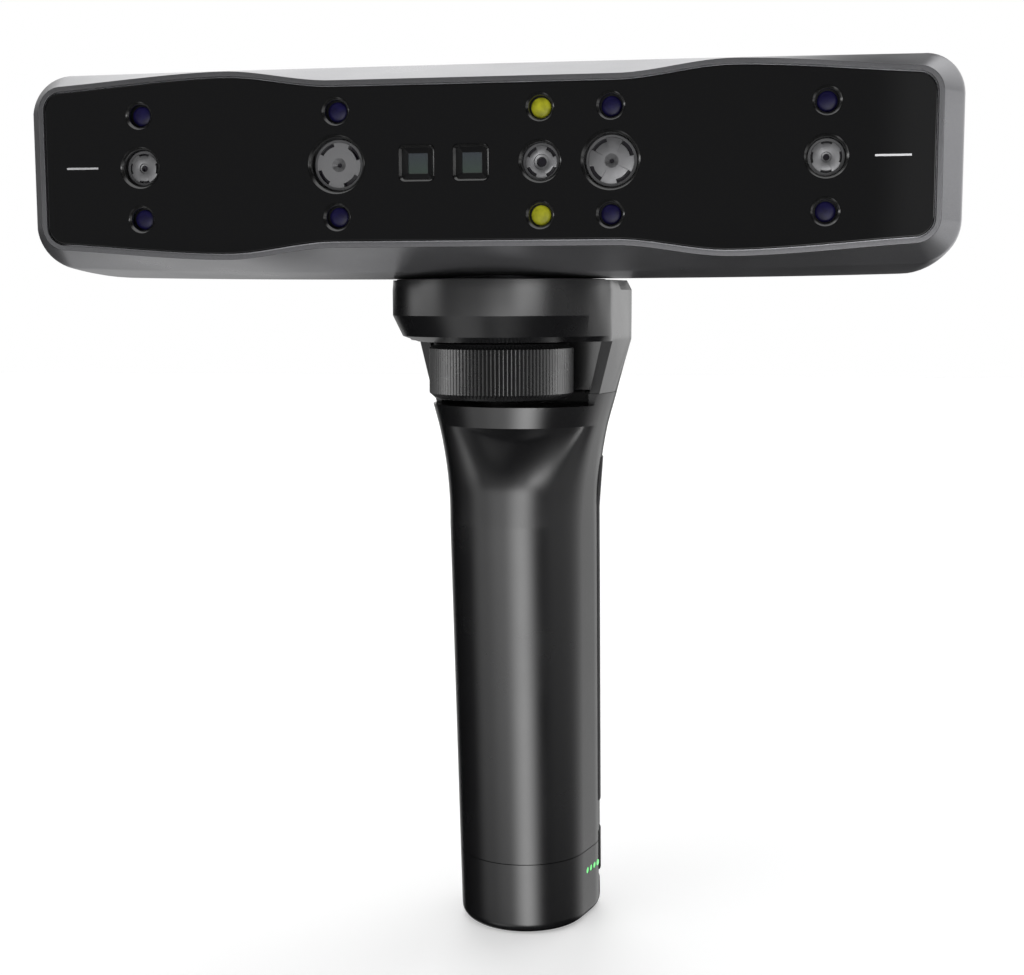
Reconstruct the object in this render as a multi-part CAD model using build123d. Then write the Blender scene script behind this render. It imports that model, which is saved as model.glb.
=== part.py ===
from build123d import *
import math
import os

# A hand-held 3D scanner: a wide camera head on a battery handle.
# Millimetres, +Z up, the head looks along -Y.
# The origin is on the clamping screw's axis, at the foot of the handle.

# Handle: heights above the foot
cap_height = 19.5
grip_height = 108.5
neck_height = 134.8
ring_height = 5.3
yoke_seat_height = 143.1
platform_bottom = 156.6
platform_top = 172.0

# Handle: its front is turned from the head's front by this angle
handle_turn = 17.0

# Handle: outline sizes, half widths and depths from the screw axis
foot_half_width = 17.4
foot_front = -3.7
foot_rear = 38.4
grip_half_width = 18.2
grip_front = -8.3
grip_rear = 35.5
side_flat = 7.3
neck_half_width = 21.9
neck_rear = 36.0
scoop_front = -4.2
ring_front = -10.0
seat_half_width = 24.4
seat_rear = 37.4
seat_front = -11.2
scoop_front_centre = 11.6
neck_rear_centre = 14.2
seat_rear_centre = 14.0
platform_radius = 27.7
platform_rear = 40.2
platform_band = 8.8
cone_width = 2.7
cone_height = 1.4
cone_foot = 6.3
column_taper = 0.4
arm_front = 7.5
arm_wall = 3.0
bay_back = 24.5
bay_round = 8.0
grip_wall = 2.2
grip_edge = 3.0
grip_deck = 131.0
seam_gap = 0.2

# Screws that hold the yoke on the grip, the cable duct and the output socket
yoke_screw_x = 9.0
yoke_screw_y = 27.0
yoke_screw_length = 17.0
duct_radius = 3.0
duct_depth = 31.0
port_height = 150.0
port_depth = 37.4

# Clamping screw (1/4 inch) and its thumb wheel
screw_radius = 3.1
screw_play = 0.06
screw_reach = 7.6
screw_chamfer = 0.6
wheel_radius = 18.55
wheel_thick = 14.1
wheel_edge = 1.4
wheel_top_gap = 0.4
pivot_radius = 4.0
pivot_gap = 0.2
pad_outer = 20.0
pad_inner = 6.5
pad_thick = 0.7
pad_sink = 0.5
pad_gap = 0.1

# Battery module
pack_half_width = 14.8
pack_front = -1.6
pack_rear = 32.4
pack_front_centre = 12.5
pack_rear_centre = 18.5
pack_floor = 3.0
pack_top = 99.0
cell_radius = 13.1
cell_length = 65.2
cell_bottom = 27.0
cell_play = 0.2
cell_depth = 15.5
cell_edge = 0.8
cell_tip_radius = 4.5
cell_tip = 1.2
board_thick = 1.6
carrier_wall = 2.8
carrier_floor = 3.0
charge_room_front = 3.0
charge_room_rear = 28.0
charge_room = 24.0
charge_board_height = 8.0
charge_board_gap = 0.4
charge_board_front = 4.6
charge_board_rear = 25.4
charge_post_radius = 1.2
charge_post_inset = 2.0
charge_port_y = 15.0
charge_port_sink = 0.3
light_stand = 2.0
light_margin = 1.5
light_play = 0.05
light_sink = 0.1
light_radius = 0.85
light_pitch = 2.3
light_height = 13.5
light_count = 4
light_first = 16.0

# Rear grip strip, battery latch and power button
strip_proud = 0.3
strip_depth = 0.9
strip_lead = 3.9
strip_bottom = 30.75
strip_top = 125.5
latch_bottom = 10.75
latch_top = 22.0
latch_travel = 3.0
latch_gap = 0.25
power_radius = 4.5
power_height = 114.0
power_proud = 0.5
power_travel = 0.6
button_play = 0.3
flange_thick = 1.0
flange_lip = 1.1
button_edge = 0.5
switch_radius = 2.0
switch_height = 1.4
switch_gap = 0.3
grip_board_half = 6.0
grip_board_drop = 9.0

# USB-C sockets
usb_width = 9.0
usb_height = 3.3
usb_length = 7.4
usb_wall = 0.35
usb_play = 0.1
usb_tongue_width = 6.2
usb_tongue_thick = 0.7
usb_round_play = 0.05

# Head: depths behind its face and half sizes about its middle height
screw_depth = 40.0
head_rise = 26.5
head_middle = platform_top + head_rise
head_depth = 77.0
cover_length = 13.0
cover_depth = head_depth - cover_length
rim_width = 1.1
face_half_width = 105.05
face_mid = 19.15
face_peak = 21.8
face_end = 19.25
belt_depth = 8.05
belt_half_width = 110.4
ridge_depth = 20.0
ridge_half_height = 24.85
belly_half_height = 26.1
cover_half_height = 25.3
back_half_width = 101.5
back_half_height = 18.4
wave_flat = 33.0
wave_peak = 59.0
step_depth = 14.0
shoulder_back = 5.0
shoulder_in = 2.4
shoulder_half_height = 23.2
seam_in = 0.4
face_corner = 5.7
belt_corner = 8.6
slope_corner = 9.4
ridge_corner = 9.8
belly_corner = 10.5
belt_end = 21.9
slope_end = 23.2
ridge_end = 23.5
belly_end = 24.2
seam_end = 23.6
wave_sink = 0.2
ridge_sink = 0.1

# Head: inside
glass_thick = 2.0
glass_gap = 0.3
glass_sink = 0.15
ledge_depth = glass_sink + glass_thick
throat_half_width = 101.5
throat_half_height = 15.9
bench_depth = 10.0
bench_thick = 3.0
bench_half_width = 105.0
bench_half_height = 18.6
bench_corner = 7.0
throat_corner = 5.0
belly_room_corner = 8.0
post_radius = 3.4
post_drill = 12.0
rib_half = 1.0
stud_radius = 2.0
led_stud_places = (-56.0, 0.0, 56.0)
board_stud_radius = 2.5
board_stud_x = 60.0
board_stud_z = 13.0
room_half_width = 106.0
room_half_height = 19.0
belly_room_depth = 22.0
belly_room_half_height = 22.4
main_board_depth = 26.0
main_board_half_width = 82.0
main_board_half_height = 16.0
chip_place = 24.0
chip_half = 9.0
sink_depth = 29.2
sink_thick = 3.0
sink_fin = 16.0
sink_fin_thick = 1.2
sink_fin_count = 9
sink_half_width = 38.0
sink_half_height = 14.0

# Cameras: name, place, bore in the glass, retaining ring, pupil, turn of the ring's notches
lens_recess = 2.6
outer_spacing = 80.0
inner_spacing = 32.0
color_place = 15.86
outer_bore = 9.5
outer_disc = 7.0
outer_pupil = 2.0
inner_bore = 13.25
inner_disc = 10.4
inner_pupil = 2.6
inner_notch_turn = 37.0
color_disc = 7.3
color_pupil = 3.4
color_notch_turn = 45.0
bore_taper = 0.5
barrel_wall = 0.6
holder_size = 14.0
holder_depth = 7.2
notch_count = 4
notch_sweep = 44.0
notch_share = 0.83
notch_depth = 0.8
ring_thick = 1.5
barrel_gap = 0.3
element_thick = 2.2
element_edge = 0.4
bench_window = 4.0
sensor_half_width = 7.4
sensor_half_height = 11.0
sensor_chip = 2.6
sensor_chip_thick = 1.2
plug_half = 4.0
plug_low = 4.0
plug_high = 9.0
plug_thick = 2.2

# Lights beside the cameras
led_height = 12.11
led_bore = 6.2
led_radius = 2.35
led_tip = 1.8
led_board_depth = 6.0
led_board_half = 3.4
led_board_reach = 87.0
led_board_thick = 1.2

# Pattern projectors and their windows
window_places = {"left": -12.9, "right": -0.155}
window_bore = 8.0
window_throat = 6.2
window_size = 7.4
window_corner = 1.2
window_thick = 0.8
projector_size = 10.2
snout_radius = 2.3
snout_depth = 4.2

# Sight marks
mark_start = 90.5
mark_end = 98.4
mark_width = 0.45
mark_depth = 0.3

# Mounting plate in the head's belly
plate_boss = 14.0
plate_flange = 17.0
plate_flange_thick = 2.6
plate_play = 0.1
insert_radius = 4.6
insert_length = 9.4
insert_end = 1.0

# Back of the head
scan_radius = 6.5
side_button_radius = 4.0
side_button_place = 17.0
button_proud = 0.9
button_travel = 0.7
button_board_inset = 6.0
button_board_depth = head_depth - button_board_inset
button_board_half_width = 29.0
button_board_half_height = 8.0
button_board_post = 27.0
switch_share = 0.4
vent_count = 9
vent_pitch = 4.2
vent_width = 1.6
vent_half_height = 9.5
vent_start = 40.0
cover_wall = 2.4
cover_screw_x = 92.0
cover_screw_z = 13.5
screw_shank = 1.25
screw_head = 2.4
screw_head_thick = 1.6
screw_sink = 4.0
screw_bite = 10.0
screw_tight = 0.05
screw_free = 0.25
screw_head_free = 0.1
usb_place = -50.0
usb_board_half = 7.0

cameras = {
    "outer_left": (-outer_spacing, outer_bore, outer_disc, outer_pupil, 0),
    "inner_left": (-inner_spacing, inner_bore, inner_disc, inner_pupil, inner_notch_turn),
    "color": (color_place, outer_bore, color_disc, color_pupil, color_notch_turn),
    "inner_right": (inner_spacing, inner_bore, inner_disc, inner_pupil, inner_notch_turn),
    "outer_right": (outer_spacing, outer_bore, outer_disc, outer_pupil, 0),
}

os.makedirs("parts", exist_ok=True)


def save(name, shape):
    export_step(shape, f"parts/{name}.step")


# ---------------------------------------------------------------- helpers

def cylinder(radius, length, base=(0, 0, 0), along="Z"):
    """A cylinder that starts at base and runs along an axis."""
    solid = extrude(Circle(radius), length)
    turn = {"Z": Rot(0, 0, 0), "Y": Rot(-90, 0, 0), "X": Rot(0, 90, 0)}[along]
    return Pos(*base) * turn * solid


def block(low, high):
    """A box between two corners."""
    size = [b - a for a, b in zip(low, high)]
    middle = [(a + b) / 2 for a, b in zip(low, high)]
    return Pos(*middle) * Box(*size)


def slab(half_width, half_height, corner, start, end):
    """A rounded box in the head, centred on X and Z, from one depth to another."""
    face = RectangleRounded(2 * half_width, 2 * half_height, corner)
    return Pos(0, start, 0) * Rot(-90, 0, 0) * extrude(face, end - start)


def on_handle(shape):
    return Rot(0, 0, -handle_turn) * shape


def on_head(shape):
    return Pos(0, -screw_depth, head_middle) * shape


def usb_socket():
    """A socket shell along +Y with its mouth at the origin plane."""
    outer = extrude(RectangleRounded(usb_width, usb_height, usb_height / 2 - usb_round_play), -usb_length)
    inner_height = usb_height - 2 * usb_wall
    inner = RectangleRounded(usb_width - 2 * usb_wall, inner_height, inner_height / 2 - usb_round_play)
    shell = outer - extrude(inner, -(usb_length - usb_wall))
    tongue_length = usb_length - usb_wall
    tongue = Pos(0, 0, -usb_length + tongue_length / 2) * Box(usb_tongue_width, usb_tongue_thick,
                                                             tongue_length - usb_wall)
    return Rot(-90, 0, 0) * (shell + tongue)


def usb_hole(length):
    play = 2 * usb_play
    face = RectangleRounded(usb_width + play, usb_height + play, usb_height / 2)
    return Rot(-90, 0, 0) * extrude(face, -length)


# ---------------------------------------------------------------- handle outline

def blend(low, high, share):
    return low + (high - low) * share


def grip_station(z):
    """Half width, front, front centre, rear centre and rear of the straight grip."""
    share = z / grip_height
    half = blend(foot_half_width, grip_half_width, share)
    front = blend(foot_front, grip_front, share)
    rear = blend(foot_rear, grip_rear, share)
    return half, front, front + half, front + half + side_flat, rear


def neck_station(share):
    """The outline between the top of the grip and the neck, with the finger scoop."""
    ease = share ** 2
    half = blend(grip_half_width, neck_half_width, ease)
    front = blend(grip_front, scoop_front, math.sin(share * math.pi / 2))
    rear = blend(grip_rear, neck_rear, ease)
    front_centre = blend(grip_front + grip_half_width, scoop_front_centre, share)
    rear_centre = blend(grip_front + grip_half_width + side_flat, neck_rear_centre, share)
    return half, front, front_centre, rear_centre, rear


def outline(station, z, inset=0.0):
    """A closed outline: two straight sides joined by a round front and a round rear."""
    half, front, front_centre, rear_centre, rear = station
    half, front, rear = half - inset, front + inset, rear - inset
    front_arc = EllipticalCenterArc((0, front_centre), half, front_centre - front, 180, arc_size=180)
    rear_arc = EllipticalCenterArc((0, rear_centre), half, rear - rear_centre, 0, arc_size=180)
    right = Line((half, front_centre), (half, rear_centre))
    left = Line((-half, rear_centre), (-half, front_centre))
    return Pos(0, 0, z) * make_face(Curve() + [front_arc, right, rear_arc, left])


def grip_body(low, high, inset=0.0):
    """The straight grip between two heights."""
    return loft([outline(grip_station(low), low, inset), outline(grip_station(high), high, inset)])


def neck_body(high_share, inset=0.0):
    """The flare above the grip, up to a share of its height."""
    rise = neck_height - grip_height
    shares = [0.0, 0.25 * high_share, 0.5 * high_share, 0.75 * high_share, high_share]
    return loft([outline(neck_station(s), grip_height + s * rise, inset) for s in shares])


def rear_band(low, high, outset, inset, lead=strip_lead):
    """A layer that wraps round the rear of the grip, from one height to another."""
    split_low = grip_station(cap_height)[3] + lead
    split_high = grip_station(grip_height)[3] + lead
    lean = (split_high - split_low) / (grip_height - cap_height)
    front_low = split_low + lean * (low - cap_height)
    front_high = split_low + lean * (high - cap_height)
    reach = 2 * platform_radius
    profile = Polyline((front_low, low), (reach, low), (reach, high), (front_high, high), close=True)
    wedge = extrude(Plane.YZ * make_face(profile), reach, both=True)
    top = min(high, grip_height)
    layer = grip_body(low, top, -outset) - grip_body(low, top, inset)
    if high > grip_height:
        share = (high - grip_height) / (neck_height - grip_height)
        layer += neck_body(share, -outset) - neck_body(share, inset)
    return layer & wedge


def flat_outline(half, rear_centre, rear, z):
    """The yoke's outline: a straight front edge, two sides and a round rear."""
    rear_arc = EllipticalCenterArc((0, rear_centre), half, rear - rear_centre, 0, arc_size=180)
    right = Line((half, arm_front), (half, rear_centre))
    left = Line((-half, rear_centre), (-half, arm_front))
    front = Line((-half, arm_front), (half, arm_front))
    return Pos(0, 0, z) * make_face(Curve() + [front, right, rear_arc, left])


platform_rear_centre = platform_rear - platform_radius
band_bottom = platform_top - platform_band
cone_bottom = platform_bottom + cone_height
wheel_top = platform_bottom - wheel_top_gap
wheel_bottom = wheel_top - wheel_thick
ring_top = neck_height + ring_height
pad_bottom = platform_top - pad_sink
pad_top = pad_bottom + pad_thick
plate_bottom = pad_top + pad_gap
screw_top = plate_bottom + screw_reach
yoke_screw_places = [(-yoke_screw_x, yoke_screw_y), (yoke_screw_x, yoke_screw_y)]


def yoke():
    """Round platform with a hollow column behind it that straddles the thumb wheel."""
    top_face = outline((platform_radius, -platform_radius, 0, platform_rear_centre, platform_rear), 0)
    platform = Pos(0, 0, band_bottom) * extrude(top_face, platform_top - band_bottom)
    under = revolve(Plane.XZ * make_face(Polyline(
        (0, platform_bottom),
        (platform_radius - cone_foot, platform_bottom),
        (platform_radius - cone_width, cone_bottom),
        (platform_radius, band_bottom),
        (0, band_bottom), close=True)), Axis.Z)
    shoulder_half = platform_radius - column_taper
    column = loft([
        flat_outline(seat_half_width, seat_rear_centre, seat_rear, yoke_seat_height),
        flat_outline(shoulder_half, platform_rear_centre, platform_rear - column_taper, platform_bottom),
        flat_outline(platform_radius, platform_rear_centre, platform_rear, band_bottom)], ruled=True)
    bay = loft([
        Pos(0, 0, yoke_seat_height) * bay_face(seat_half_width - arm_wall),
        Pos(0, 0, platform_bottom) * bay_face(shoulder_half - arm_wall)])
    body = platform + under + (column - bay)
    body -= cylinder(screw_radius + screw_play, platform_top, (0, 0, 1))
    body -= cylinder(pad_outer, pad_sink, (0, 0, pad_bottom))
    body -= cylinder(duct_radius, port_height - yoke_seat_height, (0, duct_depth, yoke_seat_height))
    for x, y in yoke_screw_places:
        body -= cylinder(screw_shank + screw_tight, yoke_screw_length + 1, (x, y, grip_deck))
    body -= Pos(0, platform_rear, port_height) * usb_hole(platform_rear - duct_depth + 1.2 * duct_radius)
    return body


def bay_face(half):
    """Plan of the wheel bay: open at the front, with a round rear."""
    reach = platform_radius + 1
    centre = bay_back - bay_round
    arc = EllipticalCenterArc((0, centre), half, bay_back - centre, 0, arc_size=180)
    lines = [
        Line((-half, centre), (-half, -reach)),
        Line((-half, -reach), (half, -reach)),
        Line((half, -reach), (half, centre))]
    return make_face(Curve() + [arc] + lines)


def friction_pad():
    ring = cylinder(pad_outer, pad_thick) - cylinder(pad_inner, pad_thick)
    return Pos(0, 0, pad_bottom) * ring


def grip_shell():
    """Hollow grip, open at its foot, with a finger scoop under a neck ring."""
    outer = grip_body(cap_height, grip_height) + neck_body(1.0)
    low = (neck_half_width, ring_front, scoop_front_centre, neck_rear_centre, neck_rear)
    high = (seat_half_width, seat_front, scoop_front_centre, seat_rear_centre, seat_rear)
    outer += loft([outline(low, neck_height), outline(high, yoke_seat_height)])
    deck_share = (grip_deck - grip_height) / (neck_height - grip_height)
    body = outer - grip_body(cap_height, grip_height, grip_wall) - neck_body(deck_share, grip_wall)
    reach = platform_radius + 1
    body -= block((-reach, -reach, ring_top), (reach, arm_front, yoke_seat_height + 1))
    body -= Pos(0, 0, ring_top) * extrude(bay_face(seat_half_width - arm_wall), reach)
    body += cylinder(pivot_radius, wheel_bottom - pivot_gap - ring_top, (0, 0, ring_top))
    body -= cylinder(duct_radius, reach, (0, duct_depth, grip_deck - 1))
    for x, y in yoke_screw_places:
        body -= cylinder(screw_shank + screw_free, reach, (x, y, grip_deck - 1))
    body -= rear_band(strip_bottom, strip_top, 2.0, strip_depth)
    body -= rear_band(cap_height, latch_top + latch_gap, 2.0, strip_depth + latch_gap)
    body -= power_stem(power_radius + button_play)
    return body


def yoke_screws():
    """Two screws up through the deck into the yoke."""
    group = []
    for x, y in yoke_screw_places:
        head = cylinder(screw_head, screw_head_thick, (x, y, grip_deck - screw_head_thick))
        group.append(head + cylinder(screw_shank, yoke_screw_length, (x, y, grip_deck)))
    return Compound(group)


power_rear = grip_rear + strip_proud + power_proud


def power_stem(radius):
    return cylinder(radius, grip_rear, (0, grip_rear / 2, power_height), "Y")


def power_button():
    """Round button that passes the rear strip and has a flange inside the wall."""
    inner_wall = grip_rear - grip_wall
    flange_radius = power_radius + flange_lip
    sag = flange_radius ** 2 / (2 * grip_half_width) + 2 * button_play
    flange_front = inner_wall - sag - flange_thick
    stem = cylinder(power_radius, power_rear - flange_front, (0, flange_front, power_height), "Y")
    flange = cylinder(flange_radius, flange_thick, (0, flange_front, power_height), "Y")
    return stem + flange, flange_front


def grip_board(flange_front):
    """Board behind the power button, hung from the deck."""
    rear = flange_front - power_travel - switch_gap
    face = rear - switch_height
    switch = cylinder(switch_radius, switch_height, (0, face, power_height), "Y")
    plate = block((-grip_board_half, face - board_thick, power_height - grip_board_drop),
                  (grip_board_half, face, grip_deck))
    return plate + switch


# ---------------------------------------------------------------- thumb wheel

def lock_wheel():
    wheel = extrude(Circle(wheel_radius), wheel_thick)
    wheel = chamfer(wheel.edges(), wheel_edge)
    wheel -= cylinder(screw_radius, wheel_thick)
    return Pos(0, 0, wheel_bottom) * wheel


def lock_screw():
    screw = cylinder(screw_radius, screw_top - wheel_bottom, (0, 0, wheel_bottom))
    return chamfer(screw.edges().sort_by(Axis.Z)[-1], screw_chamfer)


# ---------------------------------------------------------------- battery module

def pack_outline(z, clearance=0.0):
    station = (pack_half_width, pack_front, pack_front_centre, pack_rear_centre, pack_rear)
    return outline(station, z, -clearance)


def light_pipes(radius, start):
    station = grip_station(light_height)
    end = station[0] - light_sink
    pipes = []
    for index in range(light_count):
        place = (start, light_first + index * light_pitch, light_height)
        pipes.append(cylinder(radius, end - start, place, "X"))
    return pipes


def charge_port_place():
    half = grip_station(charge_board_height)[0]
    height = charge_board_height + board_thick + usb_height / 2
    return Pos(-half + charge_port_sink, charge_port_y, height) * Rot(0, 0, 90)


def foot_cap():
    """Foot of the handle, which closes the battery module."""
    outer = grip_body(0, cap_height - seam_gap)
    outer = fillet(outer.faces().sort_by(Axis.Z)[0].edges(), grip_edge)
    body = outer - extrude(pack_outline(pack_floor, usb_play), cap_height)
    body -= rear_band(latch_bottom - latch_travel - latch_gap, cap_height, 2.0, strip_depth + latch_gap)
    for pipe in light_pipes(light_radius + light_play, 0.0):
        body -= Pos(2 * light_sink, 0, 0) * pipe
    body -= charge_port_place() * usb_hole(2 * usb_length)
    body -= Pos(-2 * charge_port_sink, 0, 0) * charge_port_place() * usb_hole(2 * usb_length)
    return body


def battery_carrier():
    """Cradle that holds the cell above the charging board."""
    body = extrude(pack_outline(pack_floor), pack_top - pack_floor)
    body -= cylinder(cell_radius + cell_play, pack_top, (0, cell_depth, cell_bottom))
    room = pack_half_width - carrier_wall
    low = pack_floor + carrier_floor
    body -= block((-room, charge_room_front, low), (room, charge_room_rear, charge_room))
    for x in (-room + charge_post_inset, room - charge_post_inset):
        for y in (charge_board_front + charge_post_inset, charge_board_rear - charge_post_inset):
            body += cylinder(charge_post_radius, charge_board_height - low, (x, y, low))
    for pipe in light_pipes(light_radius + light_play, 0.0):
        body -= pipe
    body -= charge_port_place() * usb_hole(2 * usb_length)
    return body


def battery_cell():
    can = cylinder(cell_radius, cell_length, (0, cell_depth, cell_bottom))
    can = fillet(can.edges(), cell_edge)
    return can + cylinder(cell_tip_radius, cell_tip, (0, cell_depth, cell_bottom + cell_length))


def charge_board():
    room = pack_half_width - carrier_wall - charge_board_gap
    low = charge_board_height
    plate = block((-room, charge_board_front, low), (room, charge_board_rear, low + board_thick))
    light_last = light_first + (light_count - 1) * light_pitch
    stand = block((room - charge_board_gap - light_stand, light_first - light_margin, low),
                  (room - charge_board_gap, light_last + light_margin, light_height + light_margin))
    return plate + stand


def charge_lights():
    return Compound(light_pipes(light_radius, pack_half_width - carrier_wall - 2 * charge_board_gap))


def battery_latch():
    return rear_band(latch_bottom, latch_top, strip_proud, strip_depth, strip_lead + latch_gap)


# ---------------------------------------------------------------- head shells

def head_outline(depth, half_width, middle, peak, end, corner):
    """Outline of the head at one depth, with the wave along its long edges."""
    end_x = half_width - corner
    side = end - corner
    lean = (end - peak) / (end_x - wave_peak)
    quarter = [
        Spline((wave_flat, middle), (wave_peak, peak), tangents=((1, 0), (1, lean / 2))),
        Spline((wave_peak, peak), (end_x, end), tangents=((1, lean / 2), (1, lean))),
        Spline((end_x, end), (half_width, side), tangents=((1, lean), (0, -1)))]
    right = Curve() + quarter + [mirror(edge, about=Plane.XZ) for edge in quarter]
    right += Line((half_width, side), (half_width, -side))
    both = right + mirror(right, about=Plane.YZ)
    both += Line((-wave_flat, middle), (wave_flat, middle))
    both += Line((-wave_flat, -middle), (wave_flat, -middle))
    face = make_face(both.edges())
    return Pos(0, depth, 0) * Rot(90, 0, 0) * face


def chamfered(depth):
    """Height of the sloping front edge at a depth, at mid span and at the wave's peak."""
    mid = blend(face_mid, ridge_half_height, depth / ridge_depth)
    peak_depth = ridge_depth - 2.4
    peak = blend(face_peak, ridge_half_height - 0.4, min(1.0, depth / peak_depth))
    return mid, peak


cover_screw_places = [(x, z) for x in (-cover_screw_x, cover_screw_x)
                      for z in (-cover_screw_z, cover_screw_z)]


def front_shell():
    """Body of the head, open at the back, with a pocket for the glass."""
    belt_mid, belt_peak = chamfered(belt_depth)
    step_mid, step_peak = chamfered(step_depth)
    face = head_outline(0, face_half_width, face_mid, face_peak, face_end, face_corner)
    belt = head_outline(belt_depth, belt_half_width, belt_mid, belt_peak, belt_end, belt_corner)
    slope = head_outline(step_depth, belt_half_width, step_mid, step_peak, slope_end, slope_corner)
    ridge = head_outline(ridge_depth, belt_half_width, ridge_half_height, ridge_half_height - ridge_sink,
                         ridge_end, ridge_corner)
    belly = head_outline(screw_depth, belt_half_width, belly_half_height, belly_half_height - wave_sink,
                         belly_end, belly_corner)
    body = loft([face, belt], ruled=True) + loft([belt, slope], ruled=True)
    body += loft([slope, ridge], ruled=True)
    body += loft([ridge, belly, cover_seam()])
    pocket = head_outline(-1, face_half_width - rim_width, face_mid - rim_width,
                          face_peak - rim_width, face_end - rim_width, face_corner - rim_width)
    body -= extrude(pocket, ledge_depth + 1, dir=(0, 1, 0))
    body -= slab(throat_half_width, throat_half_height, throat_corner, 0, bench_depth)
    body -= slab(room_half_width, room_half_height, bench_corner, bench_depth, cover_depth)
    body -= slab(room_half_width, belly_room_half_height, belly_room_corner, belly_room_depth, cover_depth)
    body -= cylinder(plate_boss + plate_play, head_middle, (0, screw_depth, -head_middle))
    bench_rear = bench_depth + bench_thick
    for x, z in cover_screw_places:
        body += cylinder(post_radius, cover_depth - bench_rear, (x, bench_rear, z), "Y")
        wall = math.copysign(belly_room_half_height, z)
        body += block((x - rib_half, bench_rear, min(z, wall)), (x + rib_half, cover_depth, max(z, wall)))
        body -= cylinder(screw_shank + screw_tight, post_drill, (x, cover_depth - post_drill, z), "Y")
    return body


def cover_seam():
    return head_outline(cover_depth, belt_half_width - seam_in, cover_half_height, cover_half_height - wave_sink,
                        seam_end, belly_corner)


def rear_cover():
    """Back of the head: a shallow dished cover with vents and button holes."""
    shoulder_depth = head_depth - shoulder_back
    shoulder = head_outline(shoulder_depth, belt_half_width - shoulder_in, shoulder_half_height,
                            shoulder_half_height, shoulder_half_height - 1.8, 10.0)
    back = head_outline(head_depth, back_half_width, back_half_height, back_half_height,
                        back_half_height - 1.2, 8.0)
    body = loft([cover_seam(), shoulder], ruled=True) + loft([shoulder, back], ruled=True)
    inner = slab(room_half_width - shoulder_in, shoulder_half_height - 1.5 * cover_wall, belly_room_corner,
                 cover_depth, shoulder_depth)
    inner += slab(back_half_width - cover_wall, back_half_height - cover_wall, belly_room_corner, cover_depth,
                  head_depth - cover_wall)
    body -= inner
    for side in (-1, 1):
        for index in range(vent_count):
            x = side * (vent_start + index * vent_pitch)
            if abs(x - usb_place) < usb_width / 2 + 2 * vent_width:
                continue
            slot = SlotOverall(2 * vent_half_height, vent_width, rotation=90)
            body -= Pos(x, head_depth + 1, 0) * Rot(90, 0, 0) * extrude(slot, cover_wall + 2)
    for x, radius in button_places():
        body -= cylinder(radius + button_play, cover_wall + 2, (x, head_depth - cover_wall - 1, 0), "Y")
    body -= Pos(usb_place, head_depth, 0) * usb_hole(cover_wall + 1)
    for x, z in cover_screw_places:
        body += cylinder(post_radius, head_depth - cover_wall - cover_depth, (x, cover_depth, z), "Y")
        body -= cylinder(screw_shank + screw_free, head_depth, (x, cover_depth - 1, z), "Y")
        body -= cylinder(screw_head + screw_head_free, head_depth, (x, head_depth - screw_sink, z), "Y")
    for x in (-button_board_post, button_board_post):
        length = head_depth - cover_wall - button_board_depth
        body += cylinder(stud_radius, length, (x, button_board_depth, 0), "Y")
    return body


def button_places():
    sides = [(side * side_button_place, side_button_radius) for side in (-1, 1)]
    return [(0, scan_radius)] + sides


def back_button(x, radius):
    """Push button with an inner flange."""
    stem_front = head_depth - cover_wall - button_play - flange_thick
    stem = cylinder(radius, head_depth + button_proud - stem_front, (x, stem_front, 0), "Y")
    stem = fillet(stem.edges().sort_by(Axis.Y)[-1], button_edge)
    return stem + cylinder(radius + flange_lip, flange_thick, (x, stem_front, 0), "Y")


def button_board():
    rear = head_depth - cover_wall - button_play - flange_thick - button_travel - switch_gap
    low = (-button_board_half_width, button_board_depth - board_thick, -button_board_half_height)
    board = block(low, (button_board_half_width, button_board_depth, button_board_half_height))
    for x, radius in button_places():
        board += cylinder(radius * switch_share, rear - button_board_depth, (x, button_board_depth, 0), "Y")
    return board


def cover_screws():
    seat = head_depth - screw_sink
    tip = cover_depth - screw_bite
    group = []
    for x, z in cover_screw_places:
        head = cylinder(screw_head, screw_head_thick, (x, seat, z), "Y")
        group.append(head + cylinder(screw_shank, seat - tip, (x, tip, z), "Y"))
    return Compound(group)


# ---------------------------------------------------------------- head inside

def bevelled_bore(x, z, bore):
    """A hole through the glass that narrows a little towards the back."""
    taper = Pos(x, 0, z) * Rot(-90, 0, 0) * Cone(bore / 2 + bore_taper / 2, bore / 2 - bore_taper,
                                                ledge_depth + 2)
    return Pos(0, ledge_depth / 2, 0) * taper


def led_places():
    return [(x, side * led_height) for x in (-outer_spacing, -inner_spacing, color_place,
                                             inner_spacing, outer_spacing) for side in (-1, 1)]


def front_glass():
    """Black panel with bevelled bores for the cameras, lights and windows."""
    inset = rim_width + glass_gap
    panel = head_outline(0, face_half_width - inset, face_mid - inset, face_peak - inset,
                         face_end - inset, face_corner - inset)
    body = Pos(0, glass_sink, 0) * extrude(panel, glass_thick, dir=(0, 1, 0))
    for x, bore, disc, pupil, notch_turn in cameras.values():
        body -= bevelled_bore(x, 0, bore)
    for x, z in led_places():
        body -= bevelled_bore(x, z, led_bore)
    for x in window_places.values():
        mouth = Pos(x, 0, 0) * Rot(90, 0, 0) * RectangleRounded(window_bore, window_bore, window_corner)
        throat = Pos(x, ledge_depth, 0) * Rot(90, 0, 0) * RectangleRounded(window_throat, window_throat,
                                                                           window_corner)
        body -= loft([mouth, throat])
    for low in (-mark_end, mark_start):
        body -= block((low, glass_sink, -mark_width / 2),
                      (low + mark_end - mark_start, glass_sink + mark_depth, mark_width / 2))
    return body


def sight_marks():
    """Thin inlaid lines level with the cameras."""
    marks = []
    for low in (-mark_end, mark_start):
        marks.append(block((low, glass_sink, -mark_width / 2),
                           (low + mark_end - mark_start, glass_sink + mark_depth, mark_width / 2)))
    return Compound(marks)


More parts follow.
